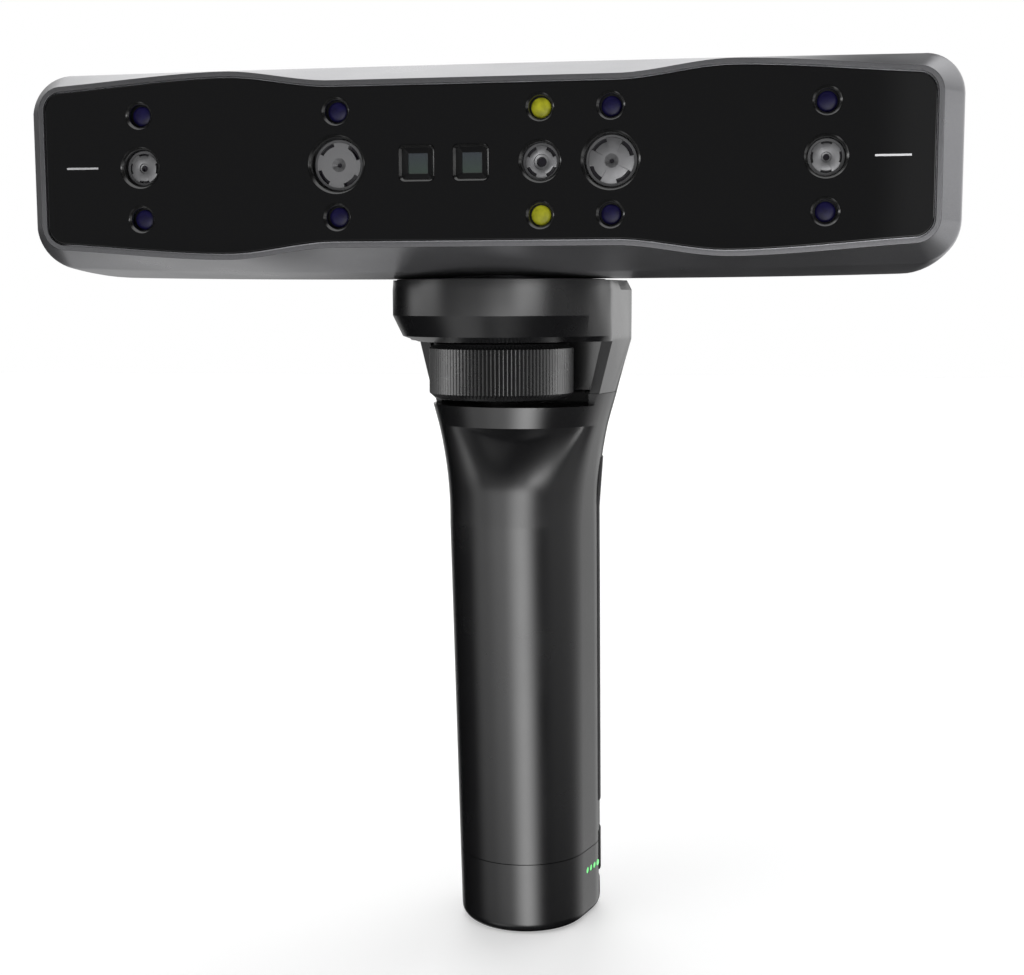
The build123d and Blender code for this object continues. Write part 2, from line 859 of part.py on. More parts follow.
def lens_barrel(x, disc):
    """Threaded tube on a square holder that sits on the optical bench."""
    radius = disc / 2 + barrel_wall
    start = lens_recess + barrel_gap
    body = cylinder(radius, bench_depth - start, (x, start, 0), "Y")
    half = holder_size / 2
    body += block((x - half, holder_depth, -half), (x + half, bench_depth, half))
    return body - cylinder(disc / 2, bench_depth, (x, 0, 0), "Y")


def lens_ring(x, disc, pupil, notch_turn):
    """Retaining ring with four arc-shaped notches in its edge."""
    ring = cylinder(disc / 2, ring_thick, (0, 0, 0))
    ring -= Pos(0, 0, ring_thick / 2) * Cone(pupil / 4, disc / 4, ring_thick)
    band = cylinder(disc, notch_depth) - cylinder(disc / 2 * notch_share, notch_depth)
    spread = disc * math.tan(math.radians(notch_sweep / 2))
    wedge = extrude(make_face(Polyline((0, 0), (disc, -spread), (disc, spread), close=True)), notch_depth)
    arc = Pos(0, 0, ring_thick - notch_depth) * (band & wedge)
    for index in range(notch_count):
        ring -= Rot(0, 0, notch_turn + index * 360 / notch_count) * arc
    return Pos(x, lens_recess + ring_thick, 0) * Rot(90, 0, 0) * ring


def lens_element(x, disc):
    """Glass element seated behind its ring."""
    body = cylinder(disc / 2, element_thick, (x, lens_recess + ring_thick, 0), "Y")
    return fillet(body.edges().sort_by(Axis.Y)[-1], element_edge)


def sensor_board(x):
    """Camera board on the back of the bench with its sensor in the bench's window."""
    rear = bench_depth + bench_thick
    face = rear + board_thick
    plate = block((x - sensor_half_width, rear, -sensor_half_height),
                  (x + sensor_half_width, face, sensor_half_height))
    chip = block((x - sensor_chip, rear - sensor_chip_thick, -sensor_chip),
                 (x + sensor_chip, rear, sensor_chip))
    plug = block((x - plug_half, face, plug_low), (x + plug_half, face + plug_thick, plug_high))
    return plate + chip + plug


def optical_bench():
    """Stiff plate that carries every camera, light and board in the head."""
    rear = bench_depth + bench_thick
    body = slab(bench_half_width, bench_half_height, bench_corner, bench_depth, rear)
    for x, bore, disc, pupil, notch_turn in cameras.values():
        body -= cylinder(bench_window, bench_thick, (x, bench_depth, 0), "Y")
    front = led_board_depth + led_board_thick
    for x in led_stud_places:
        for z in (-led_height, led_height):
            body += cylinder(stud_radius, bench_depth - front, (x, front, z), "Y")
    for x in (-board_stud_x, board_stud_x):
        for z in (-board_stud_z, board_stud_z):
            body += cylinder(board_stud_radius, main_board_depth - rear, (x, rear, z), "Y")
    return body


def led_strip(z):
    low = (-led_board_reach, led_board_depth, z - led_board_half)
    high = (led_board_reach, led_board_depth + led_board_thick, z + led_board_half)
    return block(low, high)


def led_dome(x, z):
    """Clear dome on a short round base."""
    base_end = led_tip + led_radius
    body = cylinder(led_radius, led_board_depth - base_end, (x, base_end, z), "Y")
    dome = Pos(x, base_end, z) * Sphere(led_radius)
    reach = 2 * led_radius
    return body + (dome & block((x - reach, 0, z - reach), (x + reach, base_end, z + reach)))


def window_pane(x):
    half = window_size / 2
    return block((x - half, ledge_depth, -half), (x + half, ledge_depth + window_thick, half))


def projector(x):
    """Pattern projector: a block on the bench with a short snout behind its window."""
    half = projector_size / 2
    start = ledge_depth + window_thick
    body = block((x - half, snout_depth, -half), (x + half, bench_depth, half))
    return body + cylinder(snout_radius, snout_depth - start, (x, start, 0), "Y")


def main_board():
    rear = main_board_depth + board_thick
    body = block((-main_board_half_width, main_board_depth, -main_board_half_height),
                 (main_board_half_width, rear, main_board_half_height))
    for x in (-chip_place, chip_place):
        body += block((x - chip_half, rear, -chip_half), (x + chip_half, sink_depth, chip_half))
    return body


def heat_sink():
    """Finned block on the processors."""
    rear = sink_depth + sink_thick
    body = block((-sink_half_width, sink_depth, -sink_half_height), (sink_half_width, rear, sink_half_height))
    pitch = (2 * sink_half_height - sink_fin_thick) / (sink_fin_count - 1)
    for index in range(sink_fin_count):
        z = -sink_half_height + index * pitch
        body += block((-sink_half_width, rear, z), (sink_half_width, rear + sink_fin, z + sink_fin_thick))
    return body


def usb_port():
    """Data socket, carried on its own small board."""
    socket = Pos(usb_place, head_depth - usb_wall, 0) * usb_socket()
    board_top = -usb_height / 2
    plate = block((usb_place - usb_board_half, cover_depth, board_top - board_thick),
                  (usb_place + usb_board_half, head_depth - cover_wall, board_top))
    return socket + plate


def mount_plate():
    """Steel plate in the belly that takes the clamping screw's pull."""
    bottom = plate_bottom - head_middle
    seat = -belly_room_half_height
    body = cylinder(plate_boss, seat - bottom, (0, screw_depth, bottom))
    body += cylinder(plate_flange, plate_flange_thick, (0, screw_depth, seat))
    return body - cylinder(insert_radius, head_middle, (0, screw_depth, bottom))


def thread_insert():
    bottom = plate_bottom - head_middle
    body = cylinder(insert_radius, insert_length, (0, screw_depth, bottom))
    return body - cylinder(screw_radius + screw_play, insert_length - insert_end, (0, screw_depth, bottom))


# ---------------------------------------------------------------- write the parts

save("yoke", on_handle(yoke()))
save("friction_pad", friction_pad())
save("grip_shell", on_handle(grip_shell()))
save("grip_strip", on_handle(rear_band(strip_bottom, strip_top, strip_proud, strip_depth)
                             - power_stem(power_radius + button_play)))
save("yoke_screws", on_handle(yoke_screws()))
power_key, power_flange_front = power_button()
save("power_button", on_handle(power_key))
save("grip_board", on_handle(grip_board(power_flange_front)))
save("output_port", on_handle(Pos(0, port_depth, port_height) * usb_socket()))

save("lock_wheel", lock_wheel())
save("lock_screw", lock_screw())

save("foot_cap", on_handle(foot_cap()))
save("battery_carrier", on_handle(battery_carrier()))
save("battery_cell", on_handle(battery_cell()))
save("charge_board", on_handle(charge_board()))
save("charge_lights", on_handle(charge_lights()))
save("charge_port", on_handle(charge_port_place() * usb_socket()))
save("battery_latch", on_handle(battery_latch()))

save("front_shell", on_head(front_shell()))
save("rear_cover", on_head(rear_cover()))
save("front_glass", on_head(front_glass()))
save("sight_marks", on_head(sight_marks()))
save("optical_bench", on_head(optical_bench()))
for name, (x, bore, disc, pupil, notch_turn) in cameras.items():
    save(f"lens_barrel_{name}", on_head(lens_barrel(x, disc)))
    save(f"lens_ring_{name}", on_head(lens_ring(x, disc, pupil, notch_turn)))
    save(f"lens_{name}", on_head(lens_element(x, disc)))
    save(f"sensor_board_{name}", on_head(sensor_board(x)))
save("led_strip_upper", on_head(led_strip(led_height)))
save("led_strip_lower", on_head(led_strip(-led_height)))
blue = [led_dome(x, z) for x, z in led_places() if x != color_place]
fill = [led_dome(x, z) for x, z in led_places() if x == color_place]
save("blue_leds", on_head(Compound(blue)))
save("fill_leds", on_head(Compound(fill)))
for name, x in window_places.items():
    save(f"window_{name}", on_head(window_pane(x)))
    save(f"projector_{name}", on_head(projector(x)))
save("main_board", on_head(main_board()))
save("heat_sink", on_head(heat_sink()))
save("usb_port", on_head(usb_port()))
save("button_board", on_head(button_board()))
for name, (x, radius) in zip(("scan_button", "minus_button", "plus_button"), button_places()):
    save(name, on_head(back_button(x, radius)))
save("cover_screws", on_head(cover_screws()))
save("mount_plate", on_head(mount_plate()))
save("thread_insert", on_head(thread_insert()))
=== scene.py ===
import bpy
import bmesh
import math
import numpy as np
from mathutils import Matrix, Vector


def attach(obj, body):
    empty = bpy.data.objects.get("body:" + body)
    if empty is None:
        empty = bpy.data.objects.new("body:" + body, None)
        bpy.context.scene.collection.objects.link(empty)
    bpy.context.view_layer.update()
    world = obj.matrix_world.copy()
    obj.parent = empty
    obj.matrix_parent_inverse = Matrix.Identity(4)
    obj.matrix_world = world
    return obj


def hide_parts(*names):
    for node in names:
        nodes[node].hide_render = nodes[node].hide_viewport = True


# Hand-held 3D scanner: camera head, clamping wheel and battery grip.
# Sizes are in millimetres, and meshes are written in metres.

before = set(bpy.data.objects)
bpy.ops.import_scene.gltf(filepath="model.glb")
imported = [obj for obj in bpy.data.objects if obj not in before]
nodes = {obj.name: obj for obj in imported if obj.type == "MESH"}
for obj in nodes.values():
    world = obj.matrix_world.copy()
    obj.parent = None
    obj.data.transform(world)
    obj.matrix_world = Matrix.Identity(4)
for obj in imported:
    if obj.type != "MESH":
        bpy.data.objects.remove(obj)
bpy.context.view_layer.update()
scene = bpy.context.scene
mm = 0.001

handleTurn = 17.0
headPlace = {"depth": 40.0, "middle": 198.5}
toHandle = Matrix.Rotation(math.radians(-handleTurn), 4, "Z")
toHead = Matrix.Translation((0, -headPlace["depth"] * mm, headPlace["middle"] * mm))
facingOut = Matrix.Rotation(math.radians(90), 4, "X")  # a lathe's +Z turns to -Y


# Camera

view = {"lens": 56.93, "place": (70.48, -410.89, 167.78), "yaw": 9.38076, "pitch": -6.71564,
        "roll": -0.1942}


def placeCamera():
    yaw, pitch, roll = (math.radians(view[k]) for k in ("yaw", "pitch", "roll"))
    right = Vector((math.cos(yaw), math.sin(yaw), 0))
    level = math.cos(pitch)
    ahead = Vector((-math.sin(yaw) * level, math.cos(yaw) * level, math.sin(pitch)))
    up = right.cross(ahead)
    rolledRight = math.cos(roll) * right + math.sin(roll) * up
    rolledUp = -math.sin(roll) * right + math.cos(roll) * up
    turn = Matrix((rolledRight, rolledUp, -ahead)).transposed().to_4x4()
    data = bpy.data.cameras.new("camera")
    data.lens = view["lens"]
    data.sensor_width = 36
    data.clip_start = 0.01
    camera = bpy.data.objects.new("camera", data)
    scene.collection.objects.link(camera)
    camera.matrix_world = Matrix.Translation(Vector(view["place"]) * mm) @ turn
    scene.camera = camera


placeCamera()
print("camera placed")


# Mesh tools

def blend(first, second, share):
    return first + (second - first) * share


def easeInOut(share):
    return share * share * (3 - 2 * share)


def onHead(x, z=0.0):
    # The place of a lathe or prism on the head, its +Z out of the front
    return toHead @ Matrix.Translation((x * mm, 0, z * mm)) @ facingOut


def addPiece(name, points, faces, place=None):
    mesh = bpy.data.meshes.new(name)
    mesh.from_pydata([Vector(p) * mm for p in points], [], faces)
    if place:
        mesh.transform(place)
    piece = bpy.data.objects.new(name, mesh)
    scene.collection.objects.link(piece)
    mergeAndFaceOut(piece)
    return piece


def mergeAndFaceOut(piece, distance=1e-7):
    work = bmesh.new()
    work.from_mesh(piece.data)
    bmesh.ops.remove_doubles(work, verts=work.verts, dist=distance)
    bmesh.ops.recalc_face_normals(work, faces=work.faces)
    work.to_mesh(piece.data)
    work.free()


def ringFaces(count, sides, loop):
    faces = []
    for row in range(count if loop else count - 1):
        low, high = row * sides, ((row + 1) % count) * sides
        for k in range(sides):
            n = (k + 1) % sides
            faces.append((low + k, low + n, high + n, high + k))
    if not loop:
        faces.append(tuple(range(sides)))
        faces.append(tuple(range((count - 1) * sides, count * sides)))
    return faces


def joinRings(name, rings, loop=False, place=None):
    rings = np.asarray(rings, float)
    faces = ringFaces(*rings.shape[:2], loop)
    return addPiece(name, rings.reshape(-1, 3), faces, place)


def lathe(name, profile, sides=64, place=None, loop=False):
    turn = np.linspace(0, 2 * math.pi, sides, endpoint=False)
    rings = [np.stack([r * np.cos(turn), r * np.sin(turn), np.full(sides, z)], 1) for r, z in profile]
    return joinRings(name, rings, loop, place)


def prism(name, outline, start, end, place=None):
    rings = [[(x, y, z) for x, y in outline] for z in (start, end)]
    return joinRings(name, rings, place=place)


def roundedSquare(width, height, corner, steps=6):
    points = []
    for quarter, (sx, sy) in enumerate(((1, 1), (-1, 1), (-1, -1), (1, -1))):
        for step in range(steps + 1):
            turn = math.radians(90 * (quarter + step / steps))
            points.append((sx * (width / 2 - corner) + corner * math.cos(turn),
                           sy * (height / 2 - corner) + corner * math.sin(turn)))
    return points


def squareRing(size, corner, z):
    return [(x, y, z) for x, y in roundedSquare(size, size, corner)]


def roundEnded(width, height, steps):
    return roundedSquare(width, height, min(width, height) / 2 - 0.01, steps)


def applyModifiers(piece):
    graph = bpy.context.evaluated_depsgraph_get()
    mesh = bpy.data.meshes.new_from_object(piece.evaluated_get(graph))
    piece.modifiers.clear()
    piece.data = mesh


def cut(piece, cutter, how="DIFFERENCE"):
    step = piece.modifiers.new("cut", "BOOLEAN")
    step.operation = how
    step.solver = "EXACT"
    step.object = cutter
    applyModifiers(piece)
    bpy.data.objects.remove(cutter)


def roundEdges(piece, width, segments=2, angle=35):
    step = piece.modifiers.new("edges", "BEVEL")
    step.width = width * mm
    step.segments = segments
    step.limit_method = "ANGLE"
    step.angle_limit = math.radians(angle)
    applyModifiers(piece)


def smooth(piece, angle=32, level=False, flat=False):
    for face in piece.data.polygons:
        face.use_smooth = not (flat and abs(face.normal.y) > 0.9995)
    piece.data.set_sharp_from_angle(angle=math.radians(angle))
    if level:  # large faces keep their own direction up to their edges
        step = piece.modifiers.new("normals", "WEIGHTED_NORMAL")
        step.keep_sharp = True
        applyModifiers(piece)


def finishPiece(piece, material, body, slot, *replaced):
    piece.data.materials.clear()
    piece.data.materials.append(material)
    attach(piece, body)
    if replaced:
        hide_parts(*replaced)


def cadCopy(name, node, width):
    piece = bpy.data.objects.new(name, nodes[node].data.copy())
    scene.collection.objects.link(piece)
    mergeAndFaceOut(piece, 1e-6)
    if width:
        roundEdges(piece, width)
    smooth(piece)
    return piece


def joinPieces(name, pieces):
    work = bmesh.new()
    for piece in pieces:
        work.from_mesh(piece.data)
        bpy.data.objects.remove(piece)
    mesh = bpy.data.meshes.new(name)
    work.to_mesh(mesh)
    work.free()
    joined = bpy.data.objects.new(name, mesh)
    scene.collection.objects.link(joined)
    return joined


# Geometry Nodes: a template copied to given places, or round a ring

def startTree(name, inputs):
    tree = bpy.data.node_groups.new(name, "GeometryNodeTree")
    tree.interface.new_socket("Geometry", in_out="INPUT", socket_type="NodeSocketGeometry")
    tree.interface.new_socket("Geometry", in_out="OUTPUT", socket_type="NodeSocketGeometry")
    for label, kind in inputs:
        tree.interface.new_socket(label, in_out="INPUT", socket_type=kind)
    return tree, tree.nodes.new("NodeGroupInput"), tree.nodes.new("NodeGroupOutput")


def endTree(tree, enter, leave, instances):
    realize = tree.nodes.new("GeometryNodeRealizeInstances")
    dress = tree.nodes.new("GeometryNodeSetMaterial")
    tree.links.new(instances, realize.inputs[0])
    tree.links.new(realize.outputs[0], dress.inputs["Geometry"])
    tree.links.new(enter.outputs["Material"], dress.inputs["Material"])
    tree.links.new(dress.outputs[0], leave.inputs[0])


def runTree(tree, name, values, points=()):
    mesh = bpy.data.meshes.new(name)
    mesh.from_pydata([Vector(p) * mm for p in points], [], [])
    piece = bpy.data.objects.new(name, mesh)
    scene.collection.objects.link(piece)
    step = piece.modifiers.new("make", "NODES")
    step.node_group = tree
    for item in tree.interface.items_tree:
        if item.item_type == "SOCKET" and item.in_out == "INPUT" and item.name in values:
            step[item.identifier] = values[item.name]
    applyModifiers(piece)
    return piece


def placesTree():
    tree, enter, leave = startTree("copiesAtPlaces", [
        ("Template", "NodeSocketObject"), ("Material", "NodeSocketMaterial")])
    template = tree.nodes.new("GeometryNodeObjectInfo")
    copies = tree.nodes.new("GeometryNodeInstanceOnPoints")
    tree.links.new(enter.outputs["Template"], template.inputs["Object"])
    tree.links.new(enter.outputs["Geometry"], copies.inputs["Points"])
    tree.links.new(template.outputs["Geometry"], copies.inputs["Instance"])
    endTree(tree, enter, leave, copies.outputs[0])
    return tree


def ringTree():
    tree, enter, leave = startTree("copiesRoundRing", [
        ("Template", "NodeSocketObject"), ("Count", "NodeSocketInt"), ("Radius", "NodeSocketFloat"),
        ("Material", "NodeSocketMaterial")])
    ring = tree.nodes.new("GeometryNodeMeshCircle")
    template = tree.nodes.new("GeometryNodeObjectInfo")
    copies = tree.nodes.new("GeometryNodeInstanceOnPoints")
    place = tree.nodes.new("GeometryNodeInputPosition")
    aim = tree.nodes.new("FunctionNodeAlignEulerToVector")
    aim.axis = "X"
    tree.links.new(enter.outputs["Count"], ring.inputs["Vertices"])
    tree.links.new(enter.outputs["Radius"], ring.inputs["Radius"])
    tree.links.new(enter.outputs["Template"], template.inputs["Object"])
    tree.links.new(place.outputs[0], aim.inputs["Vector"])
    tree.links.new(ring.outputs["Mesh"], copies.inputs["Points"])
    tree.links.new(template.outputs["Geometry"], copies.inputs["Instance"])
    tree.links.new(aim.outputs[0], copies.inputs["Rotation"])
    endTree(tree, enter, leave, copies.outputs[0])
    return tree


copiesAtPlaces = placesTree()
copiesRoundRing = ringTree()


def copyTo(name, template, points, material):
    piece = runTree(copiesAtPlaces, name, {"Template": template, "Material": material}, points)
    bpy.data.objects.remove(template)
    return piece


# Finishes

def newMaterial(name, colour, roughness, metallic=0.0, **sockets):
    material = bpy.data.materials.new(name)
    material.use_nodes = True
    shader = material.node_tree.nodes["Principled BSDF"]
    shader.inputs["Base Color"].default_value = (*colour, 1)
    shader.inputs["Roughness"].default_value = roughness
    shader.inputs["Metallic"].default_value = metallic
    for label, value in sockets.items():
        shader.inputs[label.replace("_", " ")].default_value = value
    return material


def feedShader(material, label, output):
    tree = material.node_tree
    tree.links.new(output, tree.nodes["Principled BSDF"].inputs[label])


def noiseOn(material, size, detail=3.0, stretch=(1, 1, 1)):
    tree = material.node_tree
    where = tree.nodes.new("ShaderNodeTexCoord")
    stretchNode = tree.nodes.new("ShaderNodeMapping")
    stretchNode.inputs["Scale"].default_value = stretch
    noise = tree.nodes.new("ShaderNodeTexNoise")
    noise.inputs["Scale"].default_value = 1 / (size * mm)
    noise.inputs["Detail"].default_value = detail
    tree.links.new(where.outputs["Object"], stretchNode.inputs["Vector"])
    tree.links.new(stretchNode.outputs["Vector"], noise.inputs["Vector"])
    return noise.outputs["Fac"]


def addGrain(material, size, height, strength=0.35, stretch=(1, 1, 1)):
    tree = material.node_tree
    bump = tree.nodes.new("ShaderNodeBump")
    bump.inputs["Strength"].default_value = strength
    bump.inputs["Distance"].default_value = height * mm
    tree.links.new(noiseOn(material, size, 2.0, stretch), bump.inputs["Height"])
    feedShader(material, "Normal", bump.outputs["Normal"])


def varyRoughness(material, size, low, high, stretch=(1, 1, 1)):
    tree = material.node_tree
    spread = tree.nodes.new("ShaderNodeMapRange")
    spread.inputs["From Min"].default_value = 0.3
    spread.inputs["From Max"].default_value = 0.7
    spread.inputs["To Min"].default_value = low
    spread.inputs["To Max"].default_value = high
    tree.links.new(noiseOn(material, size, 4.0, stretch), spread.inputs["Value"])
    feedShader(material, "Roughness", spread.outputs["Result"])


def varyColour(material, size, first, second):
    tree = material.node_tree
    ramp = tree.nodes.new("ShaderNodeValToRGB")
    ramp.color_ramp.elements[0].position = 0.35
    ramp.color_ramp.elements[1].position = 0.65
    ramp.color_ramp.elements[0].color = (*first, 1)
    ramp.color_ramp.elements[1].color = (*second, 1)
    tree.links.new(noiseOn(material, size), ramp.inputs["Fac"])
    feedShader(material, "Base Color", ramp.outputs["Color"])


def shareAlong(material, axis, low, high, start=0.0):
    # Rises from start to 1 along one axis of the object, from low to high
    tree = material.node_tree
    where = tree.nodes.new("ShaderNodeTexCoord")
    split = tree.nodes.new("ShaderNodeSeparateXYZ")
    spread = tree.nodes.new("ShaderNodeMapRange")
    spread.inputs["From Min"].default_value = low * mm
    spread.inputs["From Max"].default_value = high * mm
    spread.inputs["To Min"].default_value = start
    tree.links.new(where.outputs["Object"], split.inputs[0])
    tree.links.new(split.outputs[axis], spread.inputs["Value"])
    return spread.outputs["Result"]


# Painted shade: the base colour of the flat rim round the glass falls to a third, standing in for the shade
# the rim shows
rimPaintedShade = {"from": -39.97, "to": -39.8, "share": 0.33}  # the flat rim round the glass


def paintedShell():
    material = newMaterial("satinGreyPaint", (0.27, 0.27, 0.28), 0.3, 0.9)
    varyColour(material, 0.12, (0.22, 0.22, 0.23), (0.32, 0.32, 0.335))
    varyRoughness(material, 18, 0.27, 0.33)
    addGrain(material, 0.14, 0.006, 0.2)
    tree = material.node_tree
    colour = tree.nodes["Principled BSDF"].inputs["Base Color"].links[0].from_socket
    # painted shade: darker base colour on the flat rim round the glass
    shade = shareAlong(material, "Y", rimPaintedShade["from"], rimPaintedShade["to"], rimPaintedShade["share"])
    dim = tree.nodes.new("ShaderNodeVectorMath")
    dim.operation = "SCALE"
    tree.links.new(colour, dim.inputs[0])
    tree.links.new(shade, dim.inputs["Scale"])
    feedShader(material, "Base Color", dim.outputs["Vector"])
    return material


def handlePlastic():
    material = newMaterial("darkSatinPlastic", (0.0035, 0.0035, 0.0038), 0.26)
    varyColour(material, 0.5, (0.003, 0.003, 0.0033), (0.004, 0.004, 0.0044))
    varyRoughness(material, 14, 0.24, 0.28)
    addGrain(material, 0.22, 0.006, 0.2)
    return material


def softRubber():
    material = newMaterial("blackRubber", (0.02, 0.02, 0.021), 0.72)
    varyRoughness(material, 9, 0.64, 0.8)
    addGrain(material, 0.35, 0.03, 0.5)
    return material


def anodisedWheel():
    material = newMaterial("blackAnodised", (0.005, 0.005, 0.0053), 0.28, Specular_IOR_Level=0.6)
    varyRoughness(material, 4, 0.25, 0.32)
    addGrain(material, 0.15, 0.008, 0.3)
    return material


def blackGlass():
    material = newMaterial("blackGlass", (0.0015, 0.0015, 0.0017), 0.05, Specular_IOR_Level=0.18)
    varyRoughness(material, 30, 0.03, 0.075)
    return material


def lensMetal():
    material = newMaterial("greyLensMetal", (0.11, 0.11, 0.113), 0.38, 0.8)
    varyRoughness(material, 2, 0.36, 0.5)
    addGrain(material, 0.1, 0.004, 0.3)
    return material


def lensGlass():
    material = newMaterial("coatedGlass", (0.002, 0.0015, 0.004), 0.05, Specular_IOR_Level=0.35)
    varyColour(material, 2.0, (0.0015, 0.001, 0.003), (0.003, 0.0015, 0.005))
    return material


def epoxy(name, dark, light):
    material = newMaterial(name, dark, 0.35, Specular_IOR_Level=0.12)
    varyColour(material, 1.6, dark, light)
    return material


paneFade = {"from": 196.2, "to": 200.8, "low": (0.005, 0.015, 0.009), "high": (0.005, 0.009, 0.014)}


def windowPane():
    p = paneFade
    material = newMaterial("tealWindow", p["low"], 0.2, Coat_Weight=0.6, Coat_Roughness=0.05)
    tree = material.node_tree
    ramp = tree.nodes.new("ShaderNodeValToRGB")
    ramp.color_ramp.elements[0].color = (*p["low"], 1)
    ramp.color_ramp.elements[1].color = (*p["high"], 1)
    tree.links.new(shareAlong(material, "Z", p["from"], p["to"]), ramp.inputs["Fac"])
    feedShader(material, "Base Color", ramp.outputs["Color"])
    return material


def circuitBoard():
    material = newMaterial("circuitBoard", (0.01, 0.07, 0.03), 0.4, Coat_Weight=0.5)
    tree = material.node_tree
    where = tree.nodes.new("ShaderNodeTexCoord")
    flat = tree.nodes.new("ShaderNodeMapping")
    flat.inputs["Rotation"].default_value = (math.radians(90), 0, 0)
    tracks = tree.nodes.new("ShaderNodeTexBrick")
    tracks.inputs["Color1"].default_value = (0.008, 0.06, 0.026, 1)
    tracks.inputs["Color2"].default_value = (0.012, 0.085, 0.036, 1)
    tracks.inputs["Mortar"].default_value = (0.03, 0.16, 0.07, 1)
    tracks.inputs["Scale"].default_value = 150
    tree.links.new(where.outputs["Object"], flat.inputs["Vector"])
    tree.links.new(flat.outputs["Vector"], tracks.inputs["Vector"])
    feedShader(material, "Base Color", tracks.outputs["Color"])
    addGrain(material, 0.6, 0.03, 0.3)
    return material


def brushedMetal(name, colour, roughness, stretch):
    material = newMaterial(name, colour, roughness, 1.0)
    varyRoughness(material, 1.2, roughness - 0.08, roughness + 0.1, stretch)
    addGrain(material, 0.3, 0.006, 0.4, stretch)
    return material


def mouldedPlastic(name, colour, roughness=0.5, grain=0.3):
    material = newMaterial(name, colour, roughness)
    varyRoughness(material, 8, roughness - 0.06, roughness + 0.08)
    addGrain(material, grain, 0.02, 0.35)
    return material


paint = paintedShell()
plastic = handlePlastic()
rubber = softRubber()
wheelFinish = anodisedWheel()
glass = blackGlass()
ringMetal = lensMetal()
lensFinish = lensGlass()
blueEpoxy = epoxy("blueEpoxy", (0.003, 0.0022, 0.016), (0.005, 0.004, 0.028))
yellowEpoxy = epoxy("yellowEpoxy", (0.17, 0.17, 0.008), (0.28, 0.28, 0.014))
windowFinish = windowPane()
windowFrameFinish = newMaterial("windowFrame", (0.002, 0.002, 0.0022), 0.4, Specular_IOR_Level=0.12)
varyRoughness(windowFrameFinish, 6, 0.36, 0.46)
rimFinish = newMaterial("polishedRim", (0.004, 0.004, 0.004), 0.2, Specular_IOR_Level=1.0)
varyRoughness(rimFinish, 3, 0.17, 0.23)
greenLight = newMaterial("greenLight", (0.12, 0.62, 0.16), 0.25, Emission_Strength=0.35,
                         Emission_Color=(0.12, 0.72, 0.2, 1))
varyColour(greenLight, 0.8, (0.1, 0.55, 0.13), (0.2, 0.75, 0.25))
markSilver = brushedMetal("silverLine", (0.42, 0.42, 0.43), 0.35, (1, 8, 8))
board = circuitBoard()
canFinish = brushedMetal("cellCan", (0.6, 0.61, 0.62), 0.32, (6, 6, 1))
benchPlastic = mouldedPlastic("glassFilledPlastic", (0.02, 0.02, 0.021), 0.55)
innerPlastic = mouldedPlastic("innerPlastic", (0.03, 0.03, 0.032), 0.5)
keyPlastic = mouldedPlastic("keyPlastic", (0.07, 0.07, 0.075), 0.42, 0.2)
steel = brushedMetal("brushedSteel", (0.45, 0.45, 0.46), 0.3, (1, 12, 1))
blackOxide = newMaterial("blackOxide", (0.006, 0.006, 0.0065), 0.45, 0.3)
varyRoughness(blackOxide, 3, 0.4, 0.5)
# Painted shade: the mount plate is near-black so that the gap between the head and the platform stays dark
plateShadeSteel = brushedMetal("plateShadeSteel", (0.03, 0.03, 0.032), 0.45, (1, 12, 1))
print("materials made")


# Head shells

headSizes = {"halfWidth": 105.05, "mid": 19.15, "peak": 21.8, "end": 19.25, "corner": 5.7, "rim": 1.1,
             "flat": 33.0, "crest": 59.0, "crestEase": 0.35, "crestPower": 1.6, "pocket": 2.15,
             "belly": 40.0, "bellyWidth": 110.4, "bellyHeight": 26.1, "bellyDrop": 0.75,
             "seam": 64.0, "seamWidth": 110.0, "seamHeight": 25.3, "seamDrop": 0.9, "round": 10.5,
             "throatBack": 12.0, "throatWidth": 101.5, "throatHeight": 15.9, "throatCorner": 5.0,
             "wall": 2.2, "throatStep": 0.6, "plateHole": 14.1}
creaseSizes = {"endX": 101.38, "centre": 13.9, "corner": 9.0, "depth": 20.0, "depthDrop": 7.0,
               "height": 24.85, "heightDrop": 1.3, "endDepth": 8.05, "turnPower": 0.8}
headEdges = {"inner": 0.06, "outer": 0.1, "crease": 1.1, "seam": 0.3}  # widths of the rounded edges
longSteps, cornerSteps, sideSteps = 44, 14, 5


def mirrorQuarter(quarter):
    # The quarter runs from the top middle to the right middle
    q = np.asarray(quarter, float)
    down = q[::-1][1:] * (1, 1, -1)
    left = q[1:] * (-1, 1, -1)
    upper = q[::-1][1:-1] * (-1, 1, 1)
    return np.concatenate([q, down, left, upper])


def quarterOutline(depth, halfWidth, mid, peak, end, corner):
    s = headSizes
    endX, side = halfWidth - corner, end - corner
    points = []
    for x in np.linspace(0, endX, longSteps):
        if x < s["flat"]:
            z = mid
        elif x < s["crest"]:
            z = blend(mid, peak, easeInOut((x - s["flat"]) / (s["crest"] - s["flat"])))
        else:
            t = (x - s["crest"]) / (endX - s["crest"])
            z = blend(peak, end, blend(t ** s["crestPower"], easeInOut(t), s["crestEase"]))
        points.append((x, z))
    for turn in np.linspace(0, math.pi / 2, cornerSteps)[1:]:
        points.append((endX + corner * math.sin(turn), side + corner * math.cos(turn)))
    for share in np.linspace(0, 1, sideSteps)[1:]:
        points.append((halfWidth, side * (1 - share)))
    return np.array([(x, depth, z) for x, z in points])


def faceQuarter(depth, inset):
    s = headSizes
    sizes = [s[key] - inset for key in ("halfWidth", "mid", "peak", "end", "corner")]
    return quarterOutline(depth, *sizes)


def throatQuarter(depth):
    s = headSizes
    high = s["throatHeight"]
    return quarterOutline(depth, s["throatWidth"], high, high, high, s["throatCorner"])


